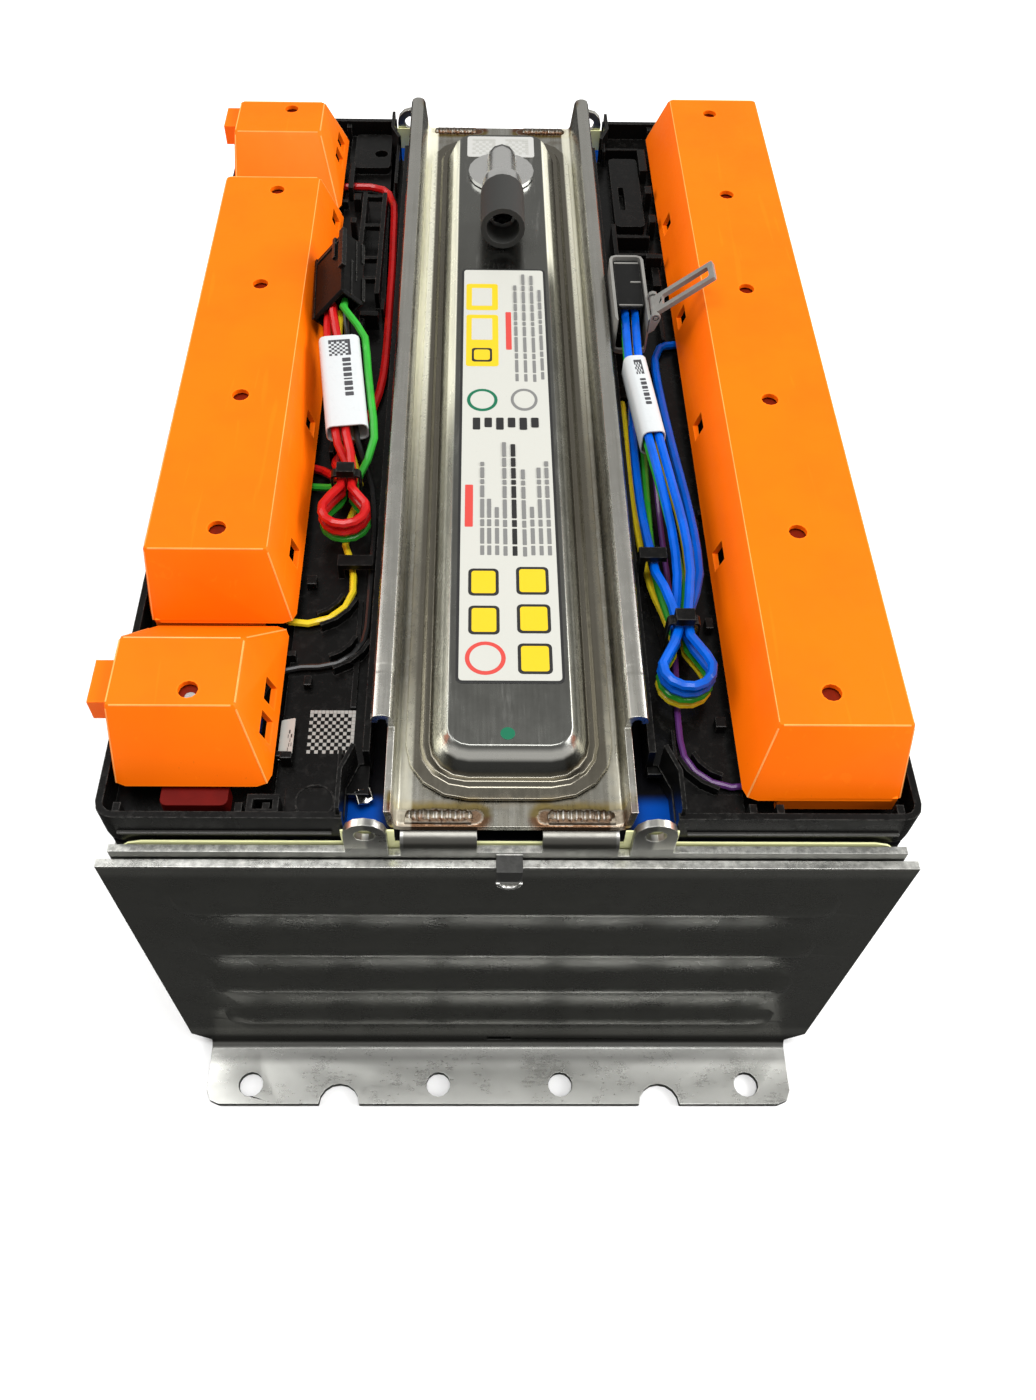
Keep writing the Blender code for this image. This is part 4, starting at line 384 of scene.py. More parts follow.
greyLook = plainLook("grey_plastic", (0.20, 0.195, 0.18), 0.42, edges=0.6)
paint(greyLook, "right_connector_frame", "latch")
redLook = plainLook("red_plastic", (0.12, 0.002, 0.0005), 0.5, shine=0.12)
paint(redLook, "terminal_block")

wireColours = {
    "red": (0.46, 0.008, 0.008),
    "green": (0.03, 0.34, 0.03),
    "yellow": (0.82, 0.62, 0.02),
    "black": (0.016, 0.016, 0.016),
    "blue": (0.0, 0.10, 0.58),
    "purple": (0.11, 0.03, 0.17),
}
for name, colour in wireColours.items():
    look = plainLook(name + "_wire", colour, 0.30, grain=1200, coat=0.3, edges=0, bumps=0.04, shine=0.15)
    paint(look, name + "_wire")
print("plastics painted")

# Metals

steelSettings = {
    "colour": (0.44, 0.44, 0.415),
    "stain": (0.16, 0.155, 0.14),
    "bright": (0.72, 0.72, 0.69),
    "roughness": 0.30,
    "grain": (0.25, 1, 1),
    "brush": 0.04,
    "blotch": 0.3,
}


def steelLook(name, settings):
    look = Look(name, {"Metallic": 1})
    cloud = look.noise(26, 4, 0.62)
    blotch = look.noise(130, 5, 0.7)
    streak = look.noise(1500, 3, 0.6, settings["grain"])
    colour = look.mix(cloud.ramp(0.4, 0.75) * 0.45, settings["colour"], settings["stain"])
    colour = look.mix(blotch.ramp(0.55, 0.75) * settings["blotch"], colour, settings["stain"])
    # painted highlight along the edges
    colour = look.mix(look.edge(0.0006) * 0.55, colour, settings["bright"])
    rough = settings["roughness"] + (blotch - 0.5) * 0.28 + (streak - 0.5) * 0.16
    normal = look.bump(streak, settings["brush"], 0.0001)
    normal = look.bump(look.noise(60, 3, 0.5), 0.05, 0.0012, normal)
    look.fix({"Base Color": colour, "Roughness": rough, "Normal": normal})
    return look, colour, rough, normal


pressedSettings = {
    **steelSettings,
    "stain": (0.26, 0.26, 0.24),
    "brush": 0.02,
    "blotch": 0.08,
    "flange": (0.12, 0.12, 0.113),
    "bend": (0.06, 0.06, 0.057),
    "wall": (0.09, 0.09, 0.085),
    "worn": (0.85, 0.85, 0.80),
}


def pressedLook(settings):
    # darker on the flange and up the wall, painted shade along the bend, and a painted highlight along the
    # top edge
    look, colour, *_ = steelLook("pressed_steel", settings)
    _, y, z = look.parts(look.place)
    flange = 1 - z.ramp(0.0022, 0.0032)
    back = 1 - abs(y).ramp(0.1470, 0.1500)
    colour = look.mix(flange * (0.34 + back * 0.55), colour, settings["flange"])
    # painted shade along the bend between the flange and the wall
    bend = z.ramp(0.0022, 0.0032) - z.ramp(0.006, 0.010)
    colour = look.mix(bend * 0.9, colour, settings["bend"])
    wall = z.ramp(0.012, 0.016) - z.ramp(0.109, 0.1125)
    colour = look.mix(wall * 0.5, colour, settings["wall"])
    # painted highlight along the top edge, broken up by noise
    worn = look.noise(650, 4, 0.7).ramp(0.35, 0.65)
    colour = look.mix(z.ramp(0.1138, 0.1146) * (0.1 + worn * 0.6), colour, settings["worn"])
    look.fix({"Base Color": colour})
    return look


innerSettings = {
    **steelSettings,
    "colour": (0.30, 0.30, 0.285),
    "roughness": 0.34,
    "upper": (0.80, 0.80, 0.75),
    "ears": (0.85, 0.84, 0.75),
    "tabs": (0.13, 0.125, 0.11),
    "tongue": (0.012, 0.012, 0.011),
    "tip": (0.90, 0.89, 0.84),
}


def innerLook(settings):
    # lighter ears, top edge and upward faces as painted highlights, dark tabs below the channel's end and a
    # dark, less metallic tongue as painted shade, and a painted highlight on the tongue's tip
    look, colour, *_ = steelLook("inner_steel", settings)
    x, y, z = look.parts(look.place)
    tongue = (1 - abs(x).ramp(0.0030, 0.0034)) * abs(y).ramp(0.1404, 0.1408)
    tip = tongue * (1 - z.ramp(0.1116, 0.1128))
    tabs = z.ramp(0.1192, 0.1196) * (1 - abs(x).ramp(0.0225, 0.0228))
    ears = z.ramp(0.1192, 0.1196) * abs(x).ramp(0.0300, 0.0310)
    worn = look.noise(650, 4, 0.7).ramp(0.35, 0.65)
    upper = look.parts(look.normal)[2].ramp(0.6, 0.9) * (1 - z.ramp(0.1186, 0.1192))
    colour = look.mix(upper * (0.1 + worn * 0.6), colour, settings["upper"])
    colour = look.mix(ears * 0.6, colour, settings["ears"])
    colour = look.mix(tabs * 0.8, colour, settings["tabs"])
    colour = look.mix(tongue * 0.95, colour, settings["tongue"])
    colour = look.mix(tip * 0.9, colour, settings["tip"])
    look.fix({"Base Color": colour, "Metallic": 1 - (tongue - tip) * 0.8})
    return look


paint(pressedLook(pressedSettings), "outer_end_plate", "side_plate")
paint(innerLook(innerSettings), "inner_end_plate")

channelSettings = {
    "colour": (0.52, 0.515, 0.47),
    "stain": (0.28, 0.26, 0.21),
    "bright": (0.85, 0.84, 0.79),
    "roughness": 0.26,
    "grain": (1, 0.05, 1),
    "brush": 0.10,
    "blotch": 0.3,
    "strip": (0.95, 0.935, 0.77),
    "shade": (0.17, 0.155, 0.11),
    "walls": (0.66, 0.655, 0.62),
    "tint": (0.12, 0.080, 0.035),
    "burnt": ((0.24, 0.17, 0.035), (0.17, 0.055, 0.012)),
    "bead": (0.11, 0.042, 0.015),
    "weldY": 0.1351,
    "weldX": 0.0153,
    "weldHalf": 0.0078,
    "panX": 0.0228,
    "panFront": -0.1319,
    "panRear": 0.1284,
}
panSettings = {
    **channelSettings,
    "colour": (0.21, 0.212, 0.197),
    "stain": (0.115, 0.113, 0.10),
    "roughness": 0.24,
    "shoulder": (0.62, 0.615, 0.56),
    "slope": (0.04, 0.04, 0.037),
    "gleam": (0.95, 0.94, 0.88),
    "scuff": (0.55, 0.55, 0.52),
    "flange": (0.22, 0.185, 0.12),
}


def heatTint(look, settings, colour):
    # a thin brown line round the pan's welded edge, and a halo round the two beads at each end
    x, y, _ = look.parts(look.place)
    wobble = (look.noise(260, 4, 0.7) - 0.5) * 0.0022
    sideways = abs(x) - settings["panX"]
    front = settings["panFront"] - y
    rear = y - settings["panRear"]
    outside = abs(sideways.most(front).most(rear) + wobble)
    band = (1 - outside.ramp(0.0002, 0.0019)) * look.noise(320, 4, 0.7).ramp(0.30, 0.60)
    along = (abs(abs(x) - settings["weldX"]) - settings["weldHalf"]).most(0)
    across = abs(abs(y) - settings["weldY"])
    reach = (along * along + across * across) ** 0.5 + wobble * 0.8
    halo = reach.ramp(0.0016, 0.0020) - reach.ramp(0.0026, 0.0045)
    bead = 1 - reach.ramp(0.0012, 0.0022)
    tinted = look.mix(band * 0.5, colour, settings["tint"])
    ahead = (abs(y) - settings["weldY"]).ramp(-0.0006, 0.0006)
    tinted = look.mix(halo * 0.95, tinted, look.mix(ahead, *settings["burnt"]))
    return look.mix(bead * 0.95, tinted, settings["bead"]), band, bead


def paleStrip(x, y, grain):
    # bands of light along the foot of each wall, brightest at the rear
    left = x.ramp(-0.0252, -0.0246) - x.ramp(-0.0214, -0.0206)
    right = x.ramp(0.0210, 0.0216) - x.ramp(0.0236, 0.0244)
    front = 1 - y.ramp(-0.118, -0.095)
    leftFade = y.ramp(-0.075, 0.03) * 0.8 + front * 0.35 + 0.12
    rightFade = y.ramp(-0.04, 0.06) * 0.7 + front * 0.2 + 0.08
    return (left * leftFade + right * rightFade) * (0.7 + grain * 0.5)


def channelLook(settings):
    look, colour, rough, normal = steelLook("channel_steel", settings)
    x, y, z = look.parts(look.place)
    grain = look.noise(900, 3, 0.6, (1, 0.02, 1))
    walls = z.ramp(0.1262, 0.1275)
    strip = paleStrip(x, y, grain) * (1 - walls)
    lit = strip.least(1)
    colour = look.mix(grain.ramp(0.35, 0.65) * 0.45, colour, settings["stain"])
    colour, band, bead = heatTint(look, settings, colour)
    colour = look.mix(lit, colour, settings["strip"])
    shade = (1 - y.ramp(-0.134, -0.100)) * (1 - walls)
    colour = look.mix(shade * 0.3, colour, settings["shade"])
    colour = look.mix(walls * grain.ramp(0.3, 0.6) * 0.5, colour, settings["walls"])
    marks = look.cells(95, (0, 1, 1)).ramp(0.10, 0.16)
    normal = look.bump(marks, 0.10, 0.0005, normal)
    normal = look.bump(look.noise(1400, 4, 0.7) * bead, 0.6, 0.0004, normal)
    rough = rough + bead * 0.25 + band * 0.1 + strip * 0.1
    look.fix({"Base Color": colour, "Roughness": rough, "Normal": normal, "Metallic": 1 - lit * 0.7})
    return look


def panLook(settings):
    look, colour, rough, normal = steelLook("pan_steel", settings)
    x, y, z = look.parts(look.place)
    low = 1 - z.ramp(0.1262, 0.1270)
    top = z.ramp(0.1310, 0.1316)
    # the front slope lies in its own shade, and the shoulders catch the light
    behind = y.ramp(-0.1225, -0.1205)
    shoulder = z.ramp(0.1268, 0.1275) * (1 - z.ramp(0.1300, 0.1310)) * behind
    front = (1 - behind) * z.ramp(0.1258, 0.1266)
    slope = front * (1 - z.ramp(0.1288, 0.1298))
    gleam = front * (z.ramp(0.1288, 0.1300) - z.ramp(0.1308, 0.1318))
    scuff = look.noise(420, 4, 0.7, (1, 0.1, 1)).ramp(0.55, 0.75) * top
    colour = look.mix(shoulder * 0.85, colour, settings["shoulder"])
    colour = look.mix(slope * 0.8, colour, settings["slope"])
    colour = look.mix(gleam * 0.8, colour, settings["gleam"])
    colour = look.mix(scuff * 0.35, colour, settings["scuff"])
    colour, band, _ = heatTint(look, settings, colour)
    colour = look.mix(low * 0.45, colour, settings["flange"])
    # the long edges of the raised field catch the light
    grain = look.noise(900, 3, 0.6, (1, 0.02, 1))
    side = (abs(x).ramp(0.0131, 0.0136) - abs(x).ramp(0.0154, 0.0160)) * z.ramp(0.1290, 0.1300)
    leftLit = x.ramp(0.001, -0.001) * (y.ramp(-0.04, 0.0) * 0.8 + 0.2)
    rightLit = x.ramp(-0.001, 0.001) * (y.ramp(0.035, 0.055) * 0.85 + 0.1)
    strip = paleStrip(x, y, grain) * low + side * (leftLit + rightLit) * (0.75 + grain * 0.5)
    lit = strip.least(1)
    colour = look.mix(lit, colour, settings["strip"])
    rough = rough + band * 0.15
    look.fix({"Base Color": colour, "Roughness": rough, "Normal": normal, "Metallic": 1 - lit * 0.7})
    return look


paint(channelLook(channelSettings), "channel")
paint(panLook(panSettings), "vent_pan")
ventSettings = {**steelSettings, "colour": (0.86, 0.86, 0.84), "stain": (0.4, 0.4, 0.38), "roughness": 0.24}
ventLook = steelLook("turned_steel", ventSettings)[0]
paint(ventLook, "vent_elbow", "clamp_ring", "terminal_screw")
barSettings = {**steelSettings, "colour": (0.80, 0.79, 0.77), "stain": (0.5, 0.49, 0.47)}
paint(steelLook("aluminium", barSettings)[0], "busbar", "terminal_bar")
print("metals painted")

# Films and sleeves


def filmLook(name, colour, roughness, wrinkle, dark=None, shine=0.3):
    look = Look(name, {"Specular IOR Level": shine})
    creases = look.noise(wrinkle, 4, 0.6, (1, 1, 0.35), 0.6)
    dirt = look.noise(500, 4, 0.7).ramp(0.5, 0.8)
    shade = look.mix(dirt * 0.2, colour, tuple(0.72 * part for part in colour))
    normal = look.bump(creases, 0.25, 0.0006)
    normal = look.bump(look.noise(2200, 2, 0.5), 0.08, 0.0001, normal)
    if dark:
        # painted shade: the film is near black, and its colour shows only beside the channel's ends and along
        # the outer sides, where it is lit
        x, y, _ = look.parts(look.place)
        outer = abs(x).ramp(0.050, 0.052)
        ends = abs(y).ramp(0.1250, 0.1290) * (1 - outer)
        sides = outer * (1 - abs(y).ramp(0.126, 0.128))
        lit = abs(x).ramp(0.026, 0.030) * (ends + sides)
        shade = look.mix(1 - lit, shade, dark)
    look.fix({"Base Color": shade, "Roughness": roughness + (creases - 0.5) * 0.25, "Normal": normal})
    return look


blueFilm = filmLook("blue_film", (0.0, 0.075, 0.46), 0.32, 90, (0.002, 0.002, 0.003), 0.1)
paint(blueFilm, *(f"cell_{k}" for k in range(1, 7)))
paint(filmLook("white_spacer", (0.74, 0.74, 0.72), 0.5, 120), "cell_spacer")
paint(filmLook("yellow_foil", (0.96, 0.97, 0.52), 0.42, 140), "insulating_foil")
paint(filmLook("white_sleeve", (0.50, 0.52, 0.525), 0.40, 160), "label_sleeve")
print("films painted")

# Pieces laid on the surfaces


def finishPiece(name, bm, look, turn=None, smooth=False):
    bmesh.ops.recalc_face_normals(bm, faces=bm.faces)
    for face in bm.faces:
        face.smooth = smooth
    mesh = bpy.data.meshes.new(name)
    bm.to_mesh(mesh)
    bm.free()
    mesh.materials.append(look.material)
    obj = addObject(name, mesh)
    if turn:
        obj.matrix_world = turn
    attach(obj, "module")


def joinRings(bm, rings, ends=True):
    # faces from ring to ring, and one face at each end
    count = len(rings[0])
    for first, second in zip(rings, rings[1:]):
        for k in range(count):
            bm.faces.new((first[k], first[(k + 1) % count], second[(k + 1) % count], second[k]))
    if ends:
        bm.faces.new(rings[0])
        bm.faces.new(reversed(rings[-1]))


def plates(name, outlines, look, edge=0, turn=None):
    # thin plates in one piece: outline, low, high
    bm = bmesh.new()
    for outline, low, high in outlines:
        rings = [[bm.verts.new((x, y, z)) for x, y in outline] for z in (low, high)]
        joinRings(bm, rings)
        if edge:
            rim = [item for item in bm.edges if all(vert in rings[1] for vert in item.verts)]
            bmesh.ops.bevel(bm, geom=rim, offset=edge, segments=2, affect="EDGES", profile=0.5)
    finishPiece(name, bm, look, turn)


def printOn(name, outlines, low, high, look, slot, turn=None):
    # outlines in millimetres, all at one height
    scaled = [([(x * millimetre, y * millimetre) for x, y in outline], low, high) for outline in outlines]
    plates(name, scaled, look, turn=turn)


def blocks(name, boxes, look, edge=0.25, turn=None):
    # bevelled blocks in millimetres: left, front, base, right, rear, top
    bm = bmesh.new()
    for left, front, base, right, rear, top in boxes:
        made = bmesh.ops.create_cube(bm, size=1)["verts"]
        size = Vector((right - left, rear - front, top - base))
        middle = Vector((right + left, rear + front, top + base)) / 2
        for vert in made:
            vert.co = Vector(a * b for a, b in zip(vert.co, size)) + middle
        reach = min(edge, 0.3 * min(size))
        edges = {item for vert in made for item in vert.link_edges}
        bmesh.ops.bevel(bm, geom=list(edges), offset=reach, segments=2, affect="EDGES", profile=0.6)
    bmesh.ops.scale(bm, verts=bm.verts, vec=(millimetre,) * 3)
    finishPiece(name, bm, look, turn)


def roundedOutline(left, front, right, rear, radius, steps=4):
    points = []
    for x, y, start in ((right, front, -90), (right, rear, 0), (left, rear, 90), (left, front, 180)):
        x = x - radius if x == right else x + radius
        y = y - radius if y == rear else y + radius
        for k in range(steps + 1):
            angle = math.radians(start + 90 * k / steps)
            points.append((x + radius * math.cos(angle), y + radius * math.sin(angle)))
    return points


def discOutline(x, y, radius, steps=28):
    angles = [2 * math.pi * k / steps for k in range(steps)]
    return [(x + radius * math.cos(a), y + radius * math.sin(a)) for a in angles]


def lattice(left, front, right, rear, count, fill=0.92):
    # every second square of a regular grid, and all of its last row and column
    squares = []
    across, along = (right - left) / count, (rear - front) / count
    for i in range(count):
        for j in range(count):
            if (i + j) % 2 == 0 or i == count - 1 or j == count - 1:
                x, y = left + i * across, front + j * along
                endX, endY = x + across * fill, y + along * fill
                squares.append(((x, y), (endX, y), (endX, endY), (x, endY)))
    return squares


def dashLine(left, front, right, rear, steps):
    # a line broken into dashes of uneven length, the same on every run
    dashes = []
    y = front
    while y < rear - 1.2:
        size = steps[len(dashes) % len(steps)]
        dashes.append((left, y, right, min(rear, y + size)))
        y += size + 0.55
    return dashes


# Label on the pan, as bare fields of colour

labelSettings = {
    "outline": (-0.0120, -0.1060, 0.0125, 0.0450),
    "thickness": 0.00012,
    "ink": 0.00004,
    "border": 0.0007,
    "corner": 0.0016,
    "lift": 0.00002,
    "layer": 0.000025,
    "dashes": (3.1, 5.2, 2.3, 6.4, 4.1, 1.6, 3.7),
}
inkColours = {
    "white": (0.455, 0.455, 0.415),
    "black": (0.014, 0.014, 0.014),
    "yellow": (0.60, 0.43, 0.010),
    "red": (0.50, 0.05, 0.04),
    "green": (0.001, 0.115, 0.055),
    "grey": (0.16, 0.16, 0.155),
}
panTop = box("vent_pan")[1].z


def paperLook(name, colour, roughness=0.34):
    look = Look(name, {"Specular IOR Level": 0.45})
    cloud = look.noise(70, 4, 0.6)
    dirt = look.noise(900, 4, 0.7).ramp(0.62, 0.8)
    shade = look.mix(dirt * 0.3, colour, tuple(0.6 * part for part in colour))
    rough = roughness + (cloud - 0.5) * 0.2
    normal = look.bump(look.noise(150, 3, 0.5), 0.08, 0.0004)
    look.fix({"Base Color": shade, "Roughness": rough, "Normal": normal})
    return look


inks = {name: paperLook("label_" + name, colour) for name, colour in inkColours.items()}

# Shape, ink, layers up, then left, front, right and rear in millimetres
labelFields = [
    ("frame", "yellow", 0, -10.6, 25.4, -1.5, 37.6),
    ("plain", "white", 1, -9, 27.4, -3.2, 35.6),
    ("frame", "yellow", 0, -10.5, 0.9, -1.5, 23.3),
    ("plain", "white", 1, -9, 12.2, -3.2, 21.6),
    ("frame", "black", 1, -8.9, 2.8, -3.3, 8.6),
    ("frame", "yellow", 2, -8.3, 3.5, -3.9, 7.9),
    ("plain", "red", 0, 0.6, 8, 2.2, 24.6),
    ("lines", "grey", 0, 3, -5.2, 3.9, 37.4),
    ("lines", "grey", 0, 5.4, -5.3, 6.3, 42),
    ("lines", "grey", 0, 7.8, -5.4, 8.7, 41.4),
    ("lines", "grey", 0, 10, -4.4, 10.9, 34.8),
    ("ring", "green", 0, -10.1, -17.3, -1.9, -8.4),
    ("ring", "grey", 0, 1.6, -17, 8.8, -8.2),
    ("bars", "black", 0, -8.5, -24.4, 9.6, -19.8),
    ("plain", "red", 0, -10.3, -59, -8.3, -44.6),
    ("lines", "grey", 0, -6.5, -68.2, -5.5, -36.6),
    ("lines", "grey", 0, -4.8, -68.2, -3.8, -49),
    ("lines", "grey", 0, -2.9, -68.2, -1.9, -52.4),
    ("lines", "grey", 0, -0.9, -68.4, 0.1, -28.2),
    ("lines", "black", 0, 1.3, -68.4, 2.5, -30),
    ("lines", "grey", 0, 3.8, -68.6, 4.8, -39.2),
    ("lines", "grey", 0, 5.8, -68.2, 6.8, -52.2),
    ("lines", "grey", 0, 7.8, -68.2, 8.8, -36.8),
    ("lines", "grey", 0, 9.8, -68.2, 10.8, -36.2),
    ("tile", "yellow", 0, -10, -81.6, -1.4, -71.8),
    ("tile", "yellow", 0, -9.9, -93.1, -1.3, -83.2),
    ("ring", "red", 0, -9.9, -103.8, -0.7, -94.4),
    ("tile", "yellow", 0, 1.3, -81.2, 10.4, -71.2),
    ("tile", "yellow", 0, 1.3, -92.7, 10.5, -82.7),
    ("tile", "yellow", 0, 1.3, -104.2, 10.5, -94.2),
]


def fieldOutlines(shape, left, front, right, rear):
    # outlines, each with its ink, or None for the field's own
    x, y = (left + right) / 2, (front + rear) / 2
    if shape == "lines":
        dashes = dashLine(left, front, right, rear, labelSettings["dashes"])
        return [(roundedOutline(*dash, 0.12, 1), None) for dash in dashes]
    if shape == "bars":
        width = (right - left) / 6.6
        places = [(left + 1.12 * k * width, front + 0.9 * (k % 2)) for k in range(6)]
        return [(roundedOutline(a, b, a + width * 0.72, rear, 0.3, 2), None) for a, b in places]
    if shape == "ring":
        half, reach = (right - left) / 2, (rear - front) / 2
        unit = discOutline(0, 0, 1, 32)
        ovals = [[(x + a * k * half, y + b * k * reach) for a, b in unit] for k in (1, 0.78)]
        return [(ovals[0], None), (ovals[1], "white")]
    if shape == "tile":
        left, front, right, rear = left + 0.7, front + 0.7, right - 0.7, rear - 0.7
        inner = roundedOutline(left + 0.75, front + 0.75, right - 0.75, rear - 0.75, 0.7, 3)
        return [(roundedOutline(left, front, right, rear, 1.2, 4), "black"), (inner, None)]
    if shape == "frame":
        return [(roundedOutline(left, front, right, rear, 0.8, 3), None)]
    return [(roundedOutline(left, front, right, rear, 0.25, 2), None)]


def buildLabel(settings):
    left, front, right, rear = settings["outline"]
    corner, border, lift = settings["corner"], settings["border"], settings["lift"]
    base = panTop + lift
    top = base + settings["thickness"]
    face = top + settings["ink"]
    outer = roundedOutline(left, front, right, rear, corner)
    plates("label_edge", [(outer, base, top)], inks["black"], 0.00005)
    inner = roundedOutline(left + border, front + border, right - border, rear - border, corner - border)
    plates("label_face", [(inner, top - lift, face)], inks["white"], 0.00002)
    return face


def buildFields(fields, base, layer):
    # every field of one ink goes into one piece
    byInk = {}
    for shape, ink, level, *place in fields:
        for step, (outline, other) in enumerate(fieldOutlines(shape, *place)):
            low = base + layer * (step + level)
            outline = [(a * millimetre, b * millimetre) for a, b in outline]
            byInk.setdefault(other or ink, []).append((outline, low, low + layer))
    for name, outlines in byInk.items():
        plates("label_" + name, outlines, inks[name])


buildFields(labelFields, buildLabel(labelSettings), labelSettings["layer"])
print("label made")

# Weld beads at both ends of the pan

beadSettings = {"near": 7.9, "far": 22.4, "y": 135.05, "base": 124, "half": 1.55, "height": 1.05, "rings": 64}
weldSettings = {
    **steelSettings,
    "colour": (0.15, 0.132, 0.10),
    "stain": (0.06, 0.028, 0.012),
    "burnt": (0.10, 0.04, 0.015),
    "roughness": 0.34,
}


def weldLook(settings):
    look, colour, _, normal = steelLook("weld_steel", settings)
    y = look.parts(look.place)[1]
    burnt = look.noise(700, 4, 0.7).ramp(0.42, 0.62)
    rim = (abs(abs(y) - beadSettings["y"] * millimetre) + (burnt - 0.5) * 0.0004).ramp(0.0006, 0.0014)
    colour = look.mix((burnt * 0.45 + rim * 0.75).least(0.9), colour, settings["burnt"])
    normal = look.bump(look.noise(1500, 4, 0.7), 0.5, 0.0003, normal)
    look.fix({"Base Color": colour, "Normal": normal})
    return look


def buildBead(name, left, right, side, look, settings):
    # a lumpy half-round ridge
    bm = bmesh.new()
    rings = []
    for k in range(settings["rings"] + 1):
        t = k / settings["rings"]
        x = left + (right - left) * t
        ends = max(0.02, 1 - abs(2 * t - 1) ** 14) ** 0.5
        ripple = 1 + 0.10 * math.sin(5.1 * x) + 0.05 * math.sin(11.7 * x + 1.3)
        sway = 0.12 * math.sin(2.3 * x)
        ring = []
        for j in range(9):
            a = math.pi * j / 8
            y = side * settings["y"] + sway + settings["half"] * ends * ripple * math.cos(a)
            z = settings["base"] + settings["height"] * ends * ripple * math.sin(a)
            ring.append(bm.verts.new((x * millimetre, y * millimetre, z * millimetre)))
        rings.append(ring)
    joinRings(bm, rings)
    finishPiece(name, bm, look, smooth=True)


def buildBeads(settings, look):
    near, far = settings["near"], settings["far"]
    for side, word in ((-1, "front"), (1, "rear")):
        buildBead(word + "_left_bead", -far, -near, side, look, settings)
        buildBead(word + "_right_bead", near, far, side, look, settings)


buildBeads(beadSettings, weldLook(weldSettings))

# Small mouldings of the trays: left, front, base, right, rear, top in millimetres
leftMouldings = [
    (-36.9, -128, 119.5, -30.7, -117.4, 121),
    (-37.5, -134.2, 119.5, -36.7, -118.2, 124.6),
    (-48.6, -135.6, 119.6, -37.3, -127.2, 122.4),
    (-50.2, -121.4, 121.5, -47.6, -119.6, 125.4),
    (-51.6, -120.2, 121.5, -48.8, -118.8, 124.2),
    (-47, -100.5, 121.5, -45.2, -97.8, 123.6),
    (-36, -106, 121.5, -34.6, -92, 122.5),
    (-36, -88, 121.5, -34.8, -74, 122.3),
    (-48.8, -70.5, 121.5, -46.4, -67.6, 124),
    (-34.6, 98, 121.5, -33.6, 124, 127.2),
    (-49.6, 96, 121.5, -47.9, 110.4, 126.6),
    (-47.2, 58.2, 121.5, -45.4, 60.4, 128.4),
    (-47.2, 74, 121.5, -45.4, 76.4, 128.4),
    (-47.4, 90, 121.5, -45, 93.4, 126.2),
    (-35.8, 34, 121.5, -34.9, 39, 126),
    (-41.8, 30, 121.5, -36.4, 32, 126.8),
    (-42, 24, 121.5, -40.6, 32, 125.6),
    (-47.8, 14, 121.5, -46.6, 36, 130.4),
    (-44.8, -6, 121.5, -43.4, 14, 126.2),
    (-46.6, -26, 121.5, -45.4, -14, 125.6),
]
rightMouldings = [
    (30.7, -122.6, 119.5, 36, -112.4, 121),
    (36.2, -134, 119.5, 37, -113, 124.6),
    (37.2, -135.6, 119.6, 50.6, -128.4, 122.4),
    (46.6, -112, 121.5, 49, -109.2, 124.2),
    (47.4, -84, 121.5, 49.2, -80.8, 124.6),
    (47.2, -52, 121.5, 49.2, -48.6, 124.6),
    (34.4, 118, 121.5, 35.4, 131, 127),
    (35.4, 122, 121.5, 46.8, 123.2, 125.4),
    (46.2, 108, 121.5, 48.8, 121, 126.4),
    (46.6, 92, 121.5, 48.8, 96, 128.2),
    (46.6, 76, 121.5, 48.8, 80, 128.2),
    (34.6, 60, 121.5, 36, 76, 127.4),
    (36, 70.6, 121.5, 46.6, 71.8, 126.2),
    (36, 62.6, 121.5, 46.6, 63.8, 125.4),
    (43.8, 55.4, 121.5, 48.8, 57.6, 129.4),
    (45.6, 46, 121.5, 48, 55, 126.4),
    (46, 22, 121.5, 47.2, 40, 125.4),
]
blocks("left_mouldings", leftMouldings, blackPlastic)
blocks("right_mouldings", rightMouldings, blackPlastic)

# A narrow ledge along the front and rear wall of each tray, greyer than the trays and paler along its edge: a
# painted highlight line
ledgeSettings = {
    "near": 38.0,
    "far": 83.5,
    "y": (136.9, 137.75),
    "z": (120.7, 121.4),
    "edge": 0.12,
    "colour": (0.055, 0.054, 0.05),
}


def buildLedges(settings):
    look = plainLook("ledge_highlight_black", settings["colour"], 0.3, edges=0.9)
    near, far = settings["near"], settings["far"]
    inner, outer = settings["y"]
    low, high = settings["z"]
    ledges = []
    for left, right in ((-far, -near), (near, far)):
        ledges += [(left, -outer, low, right, -inner, high), (left, inner, low, right, outer, high)]
    blocks("tray_ledges", ledges, look, settings["edge"])


buildLedges(ledgeSettings)

markSettings = {"x": -42.0, "y": -130.6, "outer": 4.3, "inner": 3.95, "low": 122.3, "high": 122.5}


def buildMouldMark(settings, look):
    # a fine raised ring
    bm = bmesh.new()
    rings = []
    for reach, height in (("inner", "low"), ("outer", "low"), ("outer", "high"), ("inner", "high")):
        outline = discOutline(settings["x"], settings["y"], settings[reach], 40)
        rings.append([bm.verts.new(Vector((x, y, settings[height])) * millimetre) for x, y in outline])
    joinRings(bm, rings + rings[:1], ends=False)
    finishPiece("mould_mark", bm, look)


buildMouldMark(markSettings, blackPlastic)

# Prints: plain grids and dashes

